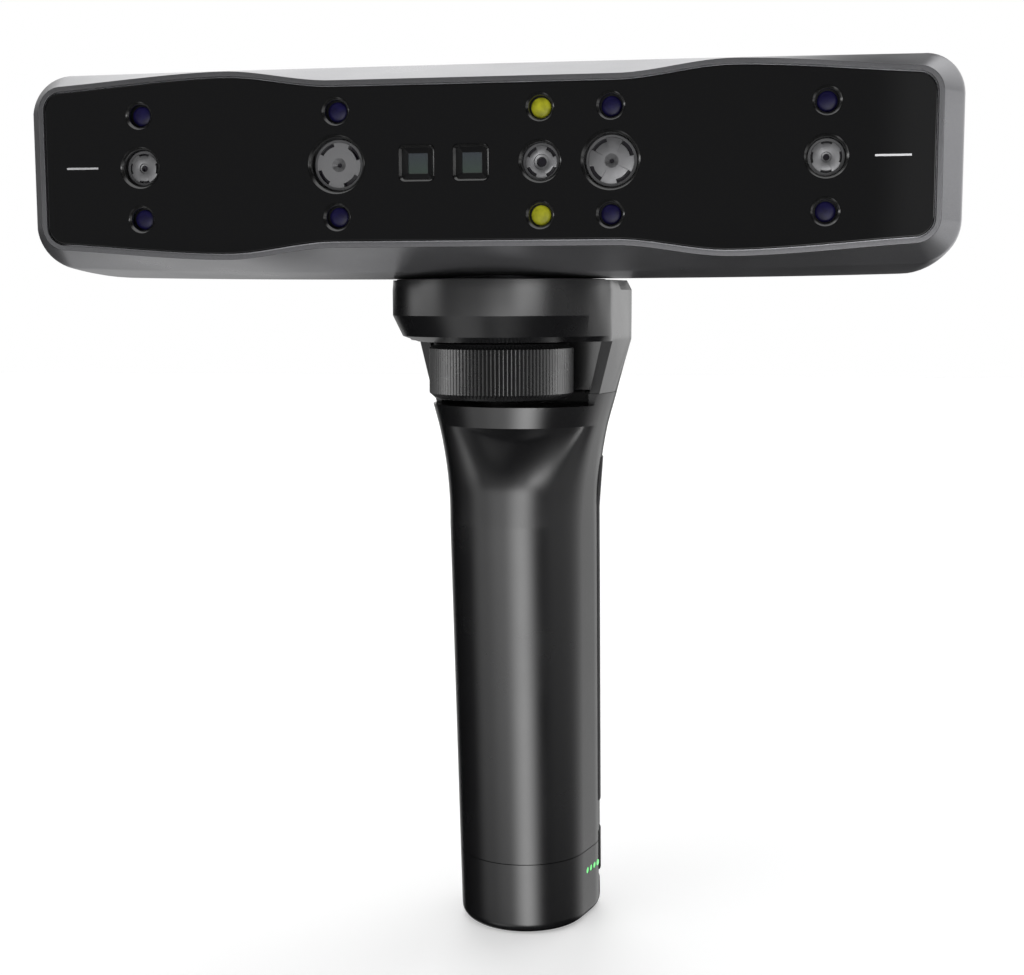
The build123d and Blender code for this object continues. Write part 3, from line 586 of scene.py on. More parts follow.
def creaseQuarter():
    c = creaseSizes
    points = []
    for x in np.linspace(0, c["endX"], longSteps):
        fall = (x / 100) ** 2
        points.append((x, c["depth"] - c["depthDrop"] * fall, c["height"] - c["heightDrop"] * fall))
    lastDepth, lastZ = points[-1][1:]
    for turn in np.linspace(0, math.pi / 2, cornerSteps)[1:]:
        depth = blend(lastDepth, c["endDepth"], (turn / (math.pi / 2)) ** c["turnPower"])
        points.append((c["endX"] + c["corner"] * math.sin(turn), depth,
                       c["centre"] + (lastZ - c["centre"]) * math.cos(turn)))
    for share in np.linspace(0, 1, sideSteps)[1:]:
        points.append((c["endX"] + c["corner"], c["endDepth"], c["centre"] * (1 - share)))
    return np.array(points)


def swellQuarter(depth, halfWidth, mid, drop, corner):
    points = []
    endX = halfWidth - corner
    for x in np.linspace(0, endX, longSteps):
        points.append((x, depth, mid - drop * (x / 100) ** 3))
    endZ = points[-1][2]
    for turn in np.linspace(0, math.pi / 2, cornerSteps)[1:]:
        points.append((endX + corner * math.sin(turn), depth, endZ - corner + corner * math.cos(turn)))
    for share in np.linspace(0, 1, sideSteps)[1:]:
        points.append((halfWidth, depth, (endZ - corner) * (1 - share)))
    return np.array(points)


def seamQuarter(inset=0.0, depth=headSizes["seam"]):
    s = headSizes
    return swellQuarter(depth, s["seamWidth"] - inset, s["seamHeight"] - inset, s["seamDrop"],
                        s["round"] - inset)


def throughDepths(first, middle, last, steps):
    # Rows on the curve through three outlines, the first row left out
    rows = []
    a, b, c = first[:, 1], middle[:, 1], last[:, 1]
    for t in np.linspace(0, 1, steps + 1)[1:]:
        depth = blend(a, c, t)
        wa = (depth - b) * (depth - c) / ((a - b) * (a - c))
        wb = (depth - a) * (depth - c) / ((b - a) * (b - c))
        wc = (depth - a) * (depth - b) / ((c - a) * (c - b))
        row = first * wa[:, None] + middle * wb[:, None] + last * wc[:, None]
        row[:, 1] = depth
        rows.append(row)
    return rows


def headGrid(name, rows, loop, rounded):
    # rounded gives rows whose edges are rounded, and by how much
    rings = [mirrorQuarter(row) for row in rows]
    sides = len(rings[0])
    mesh = bpy.data.meshes.new(name)
    mesh.from_pydata([Vector(p) * mm for p in np.concatenate(rings)], [], ringFaces(len(rings), sides, loop))
    work = bmesh.new()
    work.from_mesh(mesh)
    work.verts.ensure_lookup_table()
    bmesh.ops.recalc_face_normals(work, faces=work.faces)
    layer = work.edges.layers.float.new("bevel_weight_edge")
    for row, width in rounded.items():
        for k in range(sides):
            edge = work.edges.get((work.verts[row * sides + k], work.verts[row * sides + (k + 1) % sides]))
            edge[layer] = width
    work.to_mesh(mesh)
    work.free()
    mesh.transform(toHead)
    piece = bpy.data.objects.new(name, mesh)
    scene.collection.objects.link(piece)
    step = piece.modifiers.new("edges", "BEVEL")
    step.limit_method = "WEIGHT"
    step.width = mm
    step.segments = 4
    applyModifiers(piece)
    return piece


def makeHeadShell():
    s, e = headSizes, headEdges
    face, crease = faceQuarter(0, 0), creaseQuarter()
    belly = swellQuarter(s["belly"], s["bellyWidth"], s["bellyHeight"], s["bellyDrop"], s["round"])
    rows = [seamQuarter(s["wall"]), seamQuarter(s["wall"] + s["throatStep"], s["throatBack"]),
            throatQuarter(s["throatBack"]), throatQuarter(s["pocket"]),
            faceQuarter(s["pocket"], s["rim"]), faceQuarter(0, s["rim"]), face]
    innerRow, outerRow = len(rows) - 2, len(rows) - 1
    rows += [blend(face, crease, t) for t in (0.25, 0.5, 0.75)]
    creaseRow = len(rows)
    rows += [crease] + throughDepths(crease, belly, seamQuarter(), 9)
    rounded = {innerRow: e["inner"], outerRow: e["outer"], creaseRow: e["crease"], len(rows) - 1: e["seam"]}
    shell = headGrid("headShell", rows, True, rounded)
    cut(shell, lathe("plateHole", [(s["plateHole"], 160), (s["plateHole"], 180)]))
    smooth(shell, 28, True)
    finishPiece(shell, paint, "head", "head_shell", "front_shell")


makeHeadShell()
print("head shell made")


# The rows hold half width, height, drop towards the ends and corner
backSizes = {"gap": 0.25, "lip": 3.0, "shoulder": 72.0, "back": 77.0, "wall": 2.4,
             "shoulderRow": (108.0, 23.2, 0.8, 10.0), "backRow": (101.5, 18.4, 0.7, 8.0),
             "innerShoulderRow": (104.0, 19.6, 0.7, 8.0), "innerBackRow": (99.1, 16.0, 0.7, 6.0),
             "edges": {3: 0.3, 5: 2.0, 6: 1.6}, "cutFrom": -82.0, "cutTo": -70.0,
             "ventCount": 9, "ventPitch": 4.2, "ventWidth": 1.6, "ventHalf": 9.5, "ventStart": 40.0,
             "ventDepth": 76.0, "scanHole": 6.8, "sideHole": 4.3, "sideX": 17.0, "usbX": -50.0,
             "usbWidth": 9.2, "usbHeight": 3.5, "screwX": 92.0, "screwZ": 13.5, "screwHole": 2.5,
             "screwSink": 4.0}


def ventPlaces():
    b = backSizes
    places = [side * (b["ventStart"] + index * b["ventPitch"])
              for side in (-1, 1) for index in range(b["ventCount"])]
    clear = b["usbWidth"] / 2 + 2 * b["ventWidth"]  # none beside the data socket
    return [(x, b["ventDepth"], 0) for x in places if abs(x - b["usbX"]) > clear]


def makeRearCover():
    s, b = headSizes, backSizes
    start = s["seam"] + b["gap"]
    inner = [swellQuarter(b["back"] - b["wall"], *b["innerBackRow"]),
             swellQuarter(b["shoulder"], *b["innerShoulderRow"]), seamQuarter(s["wall"], start)]
    outer = [seamQuarter(0, start), seamQuarter(b["gap"], s["seam"] + b["lip"]),
             swellQuarter(b["shoulder"], *b["shoulderRow"]), swellQuarter(b["back"], *b["backRow"])]
    cover = headGrid("rearCover", inner + outer, False, b["edges"])
    slot = prism("slot", roundEnded(b["ventWidth"], 2 * b["ventHalf"], 4), -3, 3, facingOut)
    cutters = copyTo("ventCutters", slot, ventPlaces(), plastic)
    cutters.data.transform(toHead)
    cut(cover, cutters)
    for x, radius in ((0, b["scanHole"]), (-b["sideX"], b["sideHole"]), (b["sideX"], b["sideHole"])):
        cut(cover, lathe("hole", [(radius, b["cutFrom"]), (radius, b["cutTo"])], 48, onHead(x)))
    outline = roundEnded(b["usbWidth"], b["usbHeight"], 8)
    cut(cover, prism("hole", outline, b["cutFrom"], b["cutTo"], onHead(b["usbX"])))
    profile = [(b["screwHole"], b["cutFrom"]), (b["screwHole"], b["screwSink"] - b["back"])]
    for x in (-b["screwX"], b["screwX"]):
        for z in (-b["screwZ"], b["screwZ"]):
            cut(cover, lathe("hole", profile, 32, onHead(x, z)))
    smooth(cover, 28, True)
    finishPiece(cover, paint, "head", "head_shell", "rear_cover")


makeRearCover()
print("rear cover made")


# Front glass with its bores

# boreRows: how far out and how deep the bevel of a bore runs, in shares of the bevel
glassSizes = {"inset": 1.4, "front": 0.15, "thick": 2.0, "edge": 0.35, "outerBore": 9.5, "innerBore": 13.25,
              "ledBore": 6.2, "bevel": 0.42, "boreRows": ((0.55, 0.0), (0.2, 0.45), (0.0, 1.0)),
              "boreTaper": 0.35, "window": 8.0, "windowBevel": 0.5, "windowEdge": 0.3, "windowThroat": 6.2,
              "windowCorner": 1.2}
markSizes = {"starts": (-98.4, 90.5), "length": 7.9, "half": 0.23, "deep": 0.3}
cameraPlaces = {"outer_left": -80.0, "inner_left": -32.0, "color": 15.86, "inner_right": 32.0,
                "outer_right": 80.0}
ledHeight = 12.11
windowPlaces = {"left": -12.9, "right": -0.155}
lightSpots = [(x, 0, side * ledHeight) for x in cameraPlaces.values() for side in (-1, 1)]
windowSpots = [(x, 0, 0) for x in windowPlaces.values()]


def cameraSpots(*kinds):
    return [(x, 0, 0) for name, x in cameraPlaces.items() if name.split("_")[0] in kinds]


def boreCutter(x, z, bore):
    g = glassSizes
    r, front, edge = bore / 2, g["front"], g["bevel"]
    profile = [(r + edge * out, -front - edge * deep) for out, deep in g["boreRows"]]
    profile = [(profile[0][0], 1.0)] + profile + [(r - g["boreTaper"], -front - g["thick"] - 0.5)]
    return lathe("bore", profile, 64, onHead(x, z))


def windowCutter(x):
    g = glassSizes
    mouth, front = g["window"] + g["windowBevel"], -g["front"]
    rows = ((mouth, 1.0), (mouth, front), (g["window"], front - g["windowEdge"]),
            (g["windowThroat"], front - g["thick"] - 0.2))
    return joinRings("bore", [squareRing(size, g["windowCorner"], z) for size, z in rows], place=onHead(x))


def makeGlass():
    g, m = glassSizes, markSizes
    quarter = faceQuarter(g["front"], g["inset"])
    panel = headGrid("frontGlass", [quarter, quarter + (0, g["thick"], 0)], False, {0: g["edge"]})
    cutters = []
    for name, x in cameraPlaces.items():
        cutters.append(boreCutter(x, 0, g["innerBore"] if "inner" in name else g["outerBore"]))
        cutters += [boreCutter(x, side * ledHeight, g["ledBore"]) for side in (-1, 1)]
    cutters += [windowCutter(x) for x in windowPlaces.values()]
    cut(panel, joinPieces("bores", cutters))
    for low in m["starts"]:
        high, half = low + m["length"], m["half"]
        mark = [(low, -half), (high, -half), (high, half), (low, half)]
        cut(panel, prism("slot", mark, 0.5, -g["front"] - m["deep"], toHead @ facingOut))
    smooth(panel, 25, True, True)
    finishPiece(panel, glass, "head", "front_glass", "front_glass")


makeGlass()
print("front glass made")


# Lens rings with four arc-shaped notches

ringPlace = {"front": -2.6, "thick": 1.5, "notches": 4, "notchReach": 1.2, "edge": 0.07}
ringSizes = {
    "inner": {"turn": 37.0, "sweep": 46, "share": 0.83,
              "profile": [(5.2, 0), (1.62, 0.0), (1.45, -0.12), (0.55, -0.75), (0.45, -1.2)]},
    "color": {"turn": 45.0, "sweep": 47, "share": 0.8,
              "profile": [(3.65, 0), (1.75, 0), (1.7, -0.45), (1.15, -0.5), (1.05, -1.1)]},
    "outer": {"turn": 0.0, "sweep": 43, "share": 0.86,
              "profile": [(3.5, 0), (1.15, 0), (1.05, -0.4), (0.75, -0.4), (0.7, -0.9)]}}


def makeLensRing(name, x):
    r, p = ringSizes[name.split("_")[0]], ringPlace
    front, back, radius = p["front"], p["front"] - p["thick"], r["profile"][0][0]
    profile = [(r["profile"][-1][0], back), (radius, back)] + [(pr, front + pz) for pr, pz in r["profile"]]
    ring = lathe("lensRing_" + name, profile, 96, onHead(x), True)
    cutters = []
    for index in range(p["notches"]):
        middle = r["turn"] + 360 / p["notches"] * index
        arc = [math.radians(middle + r["sweep"] * (t - 0.5)) for t in np.linspace(0, 1, 14)]
        notch = [(radius * r["share"] * math.cos(a), radius * r["share"] * math.sin(a)) for a in arc]
        notch += [(radius * p["notchReach"] * math.cos(a), radius * p["notchReach"] * math.sin(a))
                  for a in arc[::-1]]
        cutters.append(prism("notch", notch, front + 1, back - 1, onHead(x)))
    cut(ring, joinPieces("notches", cutters))
    roundEdges(ring, p["edge"], 2, 40)
    smooth(ring, 35, False, True)
    finishPiece(ring, ringMetal, "head", "lens_ring", "lens_ring_" + name)


for name, x in cameraPlaces.items():
    makeLensRing(name, x)
print("lens rings made")


# Lights beside the cameras

lightSizes = {"radius": 2.3, "front": -1.9, "dome": 0.55, "back": -5.9}


def finishCopies(copies, angle, material, slot, *replaced):
    # The copies are made about the origin and then set on the head
    copies.data.transform(toHead)
    mergeAndFaceOut(copies)
    smooth(copies, angle)
    finishPiece(copies, material, "head", slot, *replaced)


def makeLights(name, node, columns, material, slot):
    r, front, back, dome = (lightSizes[key] for key in ("radius", "front", "back", "dome"))
    profile = [(0.01, back), (r, back), (r, front - dome)]
    profile += [(r * math.cos(t), front - dome + dome * math.sin(t)) for t in np.linspace(0.15, 1.5, 9)]
    profile.append((0.01, front))
    spots = [spot for spot in lightSpots if spot[0] in columns]
    lights = copyTo(name, lathe("dome", profile, 40, facingOut), spots, material)
    finishCopies(lights, 40, material, slot, node)


makeLights("blueLights", "blue_leds", (-80.0, -32.0, 32.0, 80.0), blueEpoxy, "blue_led")
makeLights("fillLights", "fill_leds", (15.86,), yellowEpoxy, "fill_led")
print("lights made")


# Bright bevelled rims at the mouths of the bores, dark collars behind, and frames in the windows

# section: how far out and how deep a rim runs, in widths and depths of the rim
rimSizes = {"width": 0.3, "depth": 0.5, "grow": 0.16,
            "section": ((0.02, 0.0), (-0.25, 0.15), (-1.9, 0.75), (-2.1, 1.0), (-2.1, 3.0), (0.02, 3.0))}
collarSizes = {"gap": 0.1, "lap": 0.05, "front": -2.9, "back": -4.2}
frameSizes = {"outside": 8.1, "corner": 1.2, "lip": 7.2, "lipCorner": 0.9, "inside": 4.7,
              "insideCorner": 0.25, "front": -0.5, "lipFront": -0.9, "sill": -1.75, "back": -2.1}


def roundMouth(diameter):
    turn = np.linspace(0, 2 * math.pi, 72, endpoint=False)

    def outline(grow):
        radius = diameter / 2 + grow
        return [(radius * math.cos(t), radius * math.sin(t)) for t in turn]

    return outline


def squareMouth(size, corner):
    return lambda grow: roundedSquare(size + 2 * grow, size + 2 * grow, corner + grow)


def rimRing(mouth):
    r, rows = rimSizes, []
    for out, deep in r["section"]:
        z = -glassSizes["front"] - deep * r["depth"]
        rows.append([(px, py, z) for px, py in mouth(r["grow"] + out * r["width"])])
    return joinRings("rim", rows, True, facingOut)


def makeRims():
    g = glassSizes
    kinds = ((roundMouth(g["outerBore"]), cameraSpots("outer", "color")),
             (roundMouth(g["innerBore"]), cameraSpots("inner")),
             (roundMouth(g["ledBore"]), lightSpots),
             (squareMouth(g["window"], g["windowCorner"]), windowSpots))
    rims = [copyTo("rims", rimRing(mouth), spots, rimFinish) for mouth, spots in kinds]
    finishCopies(joinPieces("boreRims", rims), 40, rimFinish, "lens_ring")


def makeCollars():
    c = collarSizes
    outer, inner = glassSizes["ledBore"] / 2 - c["gap"], lightSizes["radius"] - c["lap"]
    profile = [(outer, c["front"]), (inner, c["front"]), (inner, c["back"]), (outer, c["back"])]
    collar = lathe("collar", profile, 48, facingOut, True)
    collars = copyTo("collars", collar, lightSpots, windowFrameFinish)
    rows = [squareRing(*(frameSizes[key] for key in keys)) for keys in (
        ("outside", "corner", "front"), ("lip", "lipCorner", "lipFront"), ("inside", "insideCorner", "sill"),
        ("inside", "insideCorner", "back"), ("outside", "corner", "back"))]
    frames = copyTo("frames", joinRings("frame", rows, True, facingOut), windowSpots, windowFrameFinish)
    finishCopies(joinPieces("boreCollars", [collars, frames]), 30, windowFrameFinish, "inner_plastic")


makeRims()
makeCollars()
print("rims made")


# Handle: yoke, grip and foot

gripSizes = {"footHalf": 17.4, "footFront": -3.7, "footRear": 38.4, "half": 18.2, "front": -8.3,
             "rear": 35.5, "flat": 7.3, "top": 108.5, "seam": 19.5, "neckTop": 134.8, "neckHalf": 21.9,
             "neckRear": 36.0, "neckRearCentre": 14.2, "ringFront": -10.0, "ringTop": 140.1,
             "seat": 143.1, "seatHalf": 24.4, "seatFront": -11.2, "seatRear": 37.4, "seatRearCentre": 14.0,
             "wall": 2.2, "deck": 131.0, "edge": 0.35, "bandLead": 3.9}
handleSteps = 40
# The scoop is widest to the right of the middle; left, rise, right and fall are in degrees
scoopSizes = {"front": -3.6, "start": 118.5, "centre": 11.6, "left": 45, "rise": 60, "right": 90,
              "fall": 44, "power": 1.7}
yokeSizes = {"radius": 27.7, "rear": 39.6, "rearStep": 0.4, "bandBottom": 163.2, "top": 172.0,
             "bottom": 156.6, "coneBottom": 158.0, "coneWidth": 2.5, "coneFoot": 6.3, "armFront": 6.8,
             "armWall": 3.0, "armHalf": 27.95, "widenFrom": 66, "rearHalf": 24.7, "rearCentre": 26.0,
             "seatGap": 0.12, "bayBack": 19.4, "bayBulge": 45.0, "bayDeep": 21.5, "screw": 3.16,
             "frontEdge": 0.2, "rearEdge": 1.3, "edgeDrop": 2.5, "edge": 0.35}
padSizes = {"sink": 0.5, "radius": 26.6, "top": 172.2, "hole": 6.5, "gap": 0.05, "edge": 0.1}


def handleRing(z, half, front, frontCentre, rearCentre, rear, inset=0.0, dip=0.0):
    s = scoopSizes
    half, front, rear = half - inset, front + inset, rear - inset
    turn = np.linspace(0, math.pi, handleSteps)
    back = np.stack([half * np.cos(turn), rearCentre + (rear - rearCentre) * np.sin(turn)], 1)
    fore = np.stack([-half * np.cos(turn), frontCentre - (frontCentre - front) * np.sin(turn)], 1)
    aside = np.degrees(turn) - 90
    share = np.clip(np.minimum((aside + s["left"]) / s["rise"], (s["right"] - aside) / s["fall"]), 0, 1)
    fore[:, 1] += dip * easeInOut(share)
    ring = np.concatenate([back, fore])
    return np.column_stack([ring, np.full(len(ring), z)])


def straightGrip(z):
    g, t = gripSizes, z / gripSizes["top"]
    return (blend(g["footHalf"], g["half"], t), blend(g["footFront"], g["front"], t),
            blend(g["footRear"], g["rear"], t))


def gripRing(z, inset=0.0):
    g, s = gripSizes, scoopSizes
    if z <= g["top"]:
        half, front, rear = straightGrip(z)
        return handleRing(z, half, front, front + half, front + half + g["flat"], rear, inset)
    t = (z - g["top"]) / (g["neckTop"] - g["top"])
    half = blend(g["half"], g["neckHalf"], t * t)
    front = blend(g["front"], g["ringFront"], t * t)
    rear = blend(g["rear"], g["neckRear"], t * t)
    late = max(0, (z - s["start"]) / (g["neckTop"] - s["start"]))
    dip = blend(g["front"], s["front"], late ** s["power"]) - front
    centre = g["front"] + g["half"]
    frontCentre = blend(centre, s["centre"], t)
    rearCentre = blend(centre + g["flat"], g["neckRearCentre"], t)
    return handleRing(z, half, front, frontCentre, rearCentre, rear, inset, dip)


def bandSolid(name, low, high, outset, inset):
    # A layer round the rear of the grip, cut off at the front along a leaning line
    g = gripSizes
    heights = np.linspace(low, high, 8)
    rows = [gripRing(z, -outset) for z in heights] + [gripRing(z, inset) for z in heights[::-1]]
    layer = joinRings(name, rows, True, toHandle)
    splits = []
    for z in (g["seam"], g["top"]):
        half, front, _ = straightGrip(z)
        splits.append(front + half + g["flat"] + g["bandLead"])
    lean = (splits[1] - splits[0]) / (g["top"] - g["seam"])
    keep = []
    for z in (low - 1, high + 1):
        split = splits[0] + lean * (z - g["seam"])
        keep.append([(-40, split, z), (40, split, z), (40, 60, z), (-40, 60, z)])
    cut(layer, joinRings("keep", keep, place=toHandle), "INTERSECT")
    return layer


def bayOutline(back, bulge):
    # Open at the front; the rear wall bulges towards the wheel where bulge is given
    half = gripSizes["seatHalf"] - yokeSizes["armWall"]
    steps = np.linspace(half, -half, 41)
    points = [(x, back + (x * x / (2 * bulge) if bulge else 0)) for x in steps]
    return points + [(-half, -35), (half, -35)]


def yokeRing(z, reach, half, rearHalf, rearCentre, rear, kind):
    # kind: open where the front of the arms is flat, cone where the front widens to the arms,
    # band where it is round
    y = yokeSizes
    corner = 90 + math.degrees(math.atan(y["armFront"] / half))
    meet = half / math.cos(math.radians(corner - 90))
    ring = []
    for share in np.linspace(0, 1, 97):
        turn = corner * (2 * share - 1)
        away = abs(turn)
        if kind == "open":
            ring.append((half * (2 * share - 1), y["armFront"], z))
            continue
        if kind == "cone":
            t = min(1, max(0, (away - y["widenFrom"]) / (corner - y["widenFrom"])))
            out = blend(reach, meet, easeInOut(t))
        else:
            out = reach if away < 90 else reach / math.cos(math.radians(away - 90))
        ring.append((out * math.sin(math.radians(turn)), -out * math.cos(math.radians(turn)), z))
    right = [(blend(half, rearHalf, t), blend(y["armFront"], rearCentre, t), z)
             for t in np.linspace(0, 1, 9)[1:]]
    turns = np.linspace(0, math.pi, 49)[1:-1]
    behind = [(rearHalf * math.cos(t), rearCentre + (rear - rearCentre) * math.sin(t), z) for t in turns]
    left = [(-px, py, z) for px, py, _ in right[::-1]]
    return np.array(ring + right + behind + left)


def bandRim(band):
    # The band's upper outline, drawn in more at the rear than at the front
    y = yokeSizes
    rim = band.copy()
    for point in rim:
        away = Vector((point[0], point[1] - y["rearCentre"] / 2)).normalized()
        share = min(1, max(0, point[1] / y["rearCentre"]))
        point[:2] -= np.array(away) * blend(y["frontEdge"], y["rearEdge"], easeInOut(share))
    return rim


def makeYoke():
    y, g, p = yokeSizes, gripSizes, padSizes
    radius, centre, rear = y["radius"], y["rearCentre"], y["rear"]
    low = (y["armHalf"], y["rearHalf"], centre, rear - y["rearStep"])
    seat = (g["seatHalf"], g["seatHalf"], g["seatRearCentre"], g["seatRear"])
    band = yokeRing(y["top"], radius, radius, y["rearHalf"], centre, rear, "band")
    rows = [yokeRing(g["seat"] + y["seatGap"], 0, *seat, "open"), yokeRing(y["bottom"], 0, *low, "open"),
            yokeRing(y["bottom"], radius - y["coneFoot"], *low, "cone"),
            yokeRing(y["coneBottom"], radius - y["coneWidth"], *low, "cone"),
            band - (0, 0, y["top"] - y["bandBottom"]), band - (0, 0, y["edgeDrop"]), bandRim(band)]
    yoke = joinRings("yoke", rows, place=toHandle)
    outline = bayOutline(y["bayBack"], y["bayBulge"])
    grow = (y["armHalf"] - y["armWall"]) / (g["seatHalf"] - y["armWall"])
    cut(yoke, joinRings("bay", [[(px, py, g["seat"] - 1) for px, py in outline],
                                [(px * grow, py, y["bottom"]) for px, py in outline]], place=toHandle))
    cut(yoke, lathe("screwHole", [(y["screw"], 150), (y["screw"], 180)], 48))
    seatRadius = p["radius"] + p["gap"]
    cut(yoke, lathe("padSeat", [(seatRadius, y["top"] - p["sink"]), (seatRadius, 180)], 96))
    roundEdges(yoke, y["edge"], 3, 20)
    smooth(yoke, 20, True)
    finishPiece(yoke, plastic, "grip", "handle_shell", "yoke")


makeYoke()
print("yoke made")


stripSizes = {"low": 30.75, "high": 125.5, "proud": 0.3, "sink": 0.9, "edge": 0.15, "powerHeight": 114.0,
              "powerHole": 4.8}
latchSizes = {"low": 7.5, "high": 22.25, "sink": 1.15}
seatReach = 2.0  # how far the cutters of both seats stand out of the grip


def powerHole():
    s = stripSizes
    place = toHandle @ Matrix.Translation((0, 0, s["powerHeight"] * mm)) @ facingOut
    return lathe("powerHole", [(s["powerHole"], -60), (s["powerHole"], -20)], 48, place)


def makeGrip():
    g, y, s = gripSizes, yokeSizes, stripSizes
    straight = list(np.linspace(g["seam"], g["top"], 7))
    flare = list(np.linspace(g["top"], g["neckTop"], 22)[1:])
    rows = [gripRing(z, g["wall"]) for z in reversed(straight + [z for z in flare if z < g["deck"]])]
    rows += [gripRing(z) for z in straight + flare]
    for t in (0, 0.5, 1):
        z, half, front, centre, rear = (blend(g[low], g[high], t) for low, high in (
            ("neckTop", "seat"), ("neckHalf", "seatHalf"), ("ringFront", "seatFront"),
            ("neckRearCentre", "seatRearCentre"), ("neckRear", "seatRear")))
        rows.append(handleRing(z, half, front, scoopSizes["centre"], centre, rear))
    shell = joinRings("gripShell", rows, place=toHandle)
    front = [(-45, -45), (45, -45), (45, y["armFront"]), (-45, y["armFront"])]
    cut(shell, prism("step", front, g["ringTop"], 160, toHandle))
    cut(shell, prism("bay", bayOutline(y["bayDeep"], 0), g["ringTop"], 160, toHandle))
    cut(shell, bandSolid("latchSeat", g["seam"] - 1, latchSizes["high"], seatReach, latchSizes["sink"]))
    cut(shell, bandSolid("stripSeat", s["low"], s["high"], seatReach, s["sink"]))
    cut(shell, powerHole())
    roundEdges(shell, g["edge"], 3, 33)
    smooth(shell, 28, True)
    finishPiece(shell, plastic, "grip", "handle_shell", "grip_shell")


def makeStrip():
    s = stripSizes
    strip = bandSolid("gripStrip", s["low"], s["high"], s["proud"], s["sink"])
    cut(strip, powerHole())
    roundEdges(strip, s["edge"], 2, 38)
    smooth(strip, 30)
    finishPiece(strip, rubber, "grip", "rubber", "grip_strip")


makeGrip()
makeStrip()
print("grip made")


footSizes = {"seamGap": 0.2, "edge": 3.0, "packHalf": 14.9, "packFront": -1.7, "packRear": 32.5,
             "frontCentre": 12.5, "rearCentre": 18.5, "floor": 3.0, "seamEdge": 0.18,
             "lights": 4, "lightHole": 0.9, "lightFirst": 16.0, "lightPitch": 2.3, "lightHeight": 13.5,
             "usbWidth": 9.2, "usbHeight": 3.5, "usbMiddle": 15.0, "usbLift": 11.25,
             "cutFrom": 10.0, "cutTo": 22.0}


def onFootSide(y, z, turn):
    return (toHandle @ Matrix.Translation((0, y * mm, z * mm))
            @ Matrix.Rotation(math.radians(turn), 4, "Y"))


def makeFoot():
    f, g = footSizes, gripSizes
    top = g["seam"] - f["seamGap"]
    rows = [gripRing(f["edge"] * (1 - math.sin(turn)), f["edge"] * (1 - math.cos(turn)))
            for turn in np.linspace(0, math.pi / 2, 7)][::-1]
    rows += [gripRing(z) for z in np.linspace(f["edge"], top, 4)[1:]]
    pack = [f[key] for key in ("packHalf", "packFront", "frontCentre", "rearCentre", "packRear")]
    rows += [handleRing(z, *pack) for z in (top, f["floor"])]
    foot = joinRings("footCap", rows, place=toHandle)
    cut(foot, bandSolid("latchSeat", latchSizes["low"], g["seam"] + 1, seatReach, latchSizes["sink"]))
    profile = [(f["lightHole"], f["cutFrom"]), (f["lightHole"], f["cutTo"])]
    spots = [f["lightFirst"] + f["lightPitch"] * index for index in range(f["lights"])]
    cut(foot, joinPieces("lightHoles", [
        lathe("lightHole", profile, 24, onFootSide(y, f["lightHeight"], 90)) for y in spots]))
    outline = roundEnded(f["usbWidth"], f["usbHeight"], 8)
    place = onFootSide(f["usbMiddle"], f["usbLift"], -90) @ Matrix.Rotation(math.radians(90), 4, "Z")
    cut(foot, prism("socketHole", outline, f["cutFrom"], f["cutTo"], place))
    roundEdges(foot, f["seamEdge"], 2, 50)
    smooth(foot, 30, True)
    finishPiece(foot, plastic, "battery", "handle_shell", "foot_cap")


makeFoot()
print("foot made")


# Thumb wheel with fine knurling

wheelSizes = {"radius": 18.55, "bottom": 142.1, "top": 156.2, "edge": 1.4, "lip": 0.3, "lipDrop": 0.12,
              "bore": 3.1, "sides": 228}
ribSizes = {"count": 114, "depth": 0.58, "width": 0.99, "root": 0.4, "crown": 0.9, "crownHalf": 0.13,
            "tipHalf": 0.07, "endScale": 0.35, "endGap": 0.25, "endRise": 0.05}


def wheelRib():
    w, r = wheelSizes, ribSizes
    half, deep, crown = r["width"] / 2, r["depth"], r["depth"] * r["crown"]
    right = [(-r["root"], half), (0, half), (crown, r["crownHalf"]), (deep, r["tipHalf"])]
    section = [(px, -py) for px, py in right] + right[::-1]
    sink = r["endRise"] - w["edge"]
    rows = []
    for z, scale, shift in ((w["bottom"] + r["endGap"], r["endScale"], sink), (w["bottom"] + w["edge"], 1, 0),
                            (w["top"] - w["edge"], 1, 0), (w["top"] - r["endGap"], r["endScale"], sink)):
        rows.append([(px + shift, py * scale, z) for px, py in section])
    return joinRings("rib", rows)


def makeWheel():
    w, r = wheelSizes, ribSizes
    core, shoulder = w["radius"] - r["depth"], w["radius"] - w["edge"]
    profile = [(w["bore"], w["bottom"]), (shoulder - w["lip"], w["bottom"]),
               (shoulder, w["bottom"] + w["lipDrop"]), (core, w["bottom"] + w["edge"]),
               (core, w["top"] - w["edge"]), (shoulder, w["top"] - w["lipDrop"]),
               (shoulder - w["lip"], w["top"]), (w["bore"], w["top"])]
    body = lathe("wheelBody", profile, w["sides"], loop=True)
    rib = wheelRib()
    ribs = runTree(copiesRoundRing, "ribs", {"Template": rib, "Count": r["count"], "Radius": core * mm,
                                             "Material": wheelFinish})
    bpy.data.objects.remove(rib)
    wheel = joinPieces("thumbWheel", [body, ribs])
    smooth(wheel, 30)
    finishPiece(wheel, wheelFinish, "wheel", "wheel", "lock_wheel")


makeWheel()
print("wheel made")


# Small pieces that keep their CAD shape with softened edges

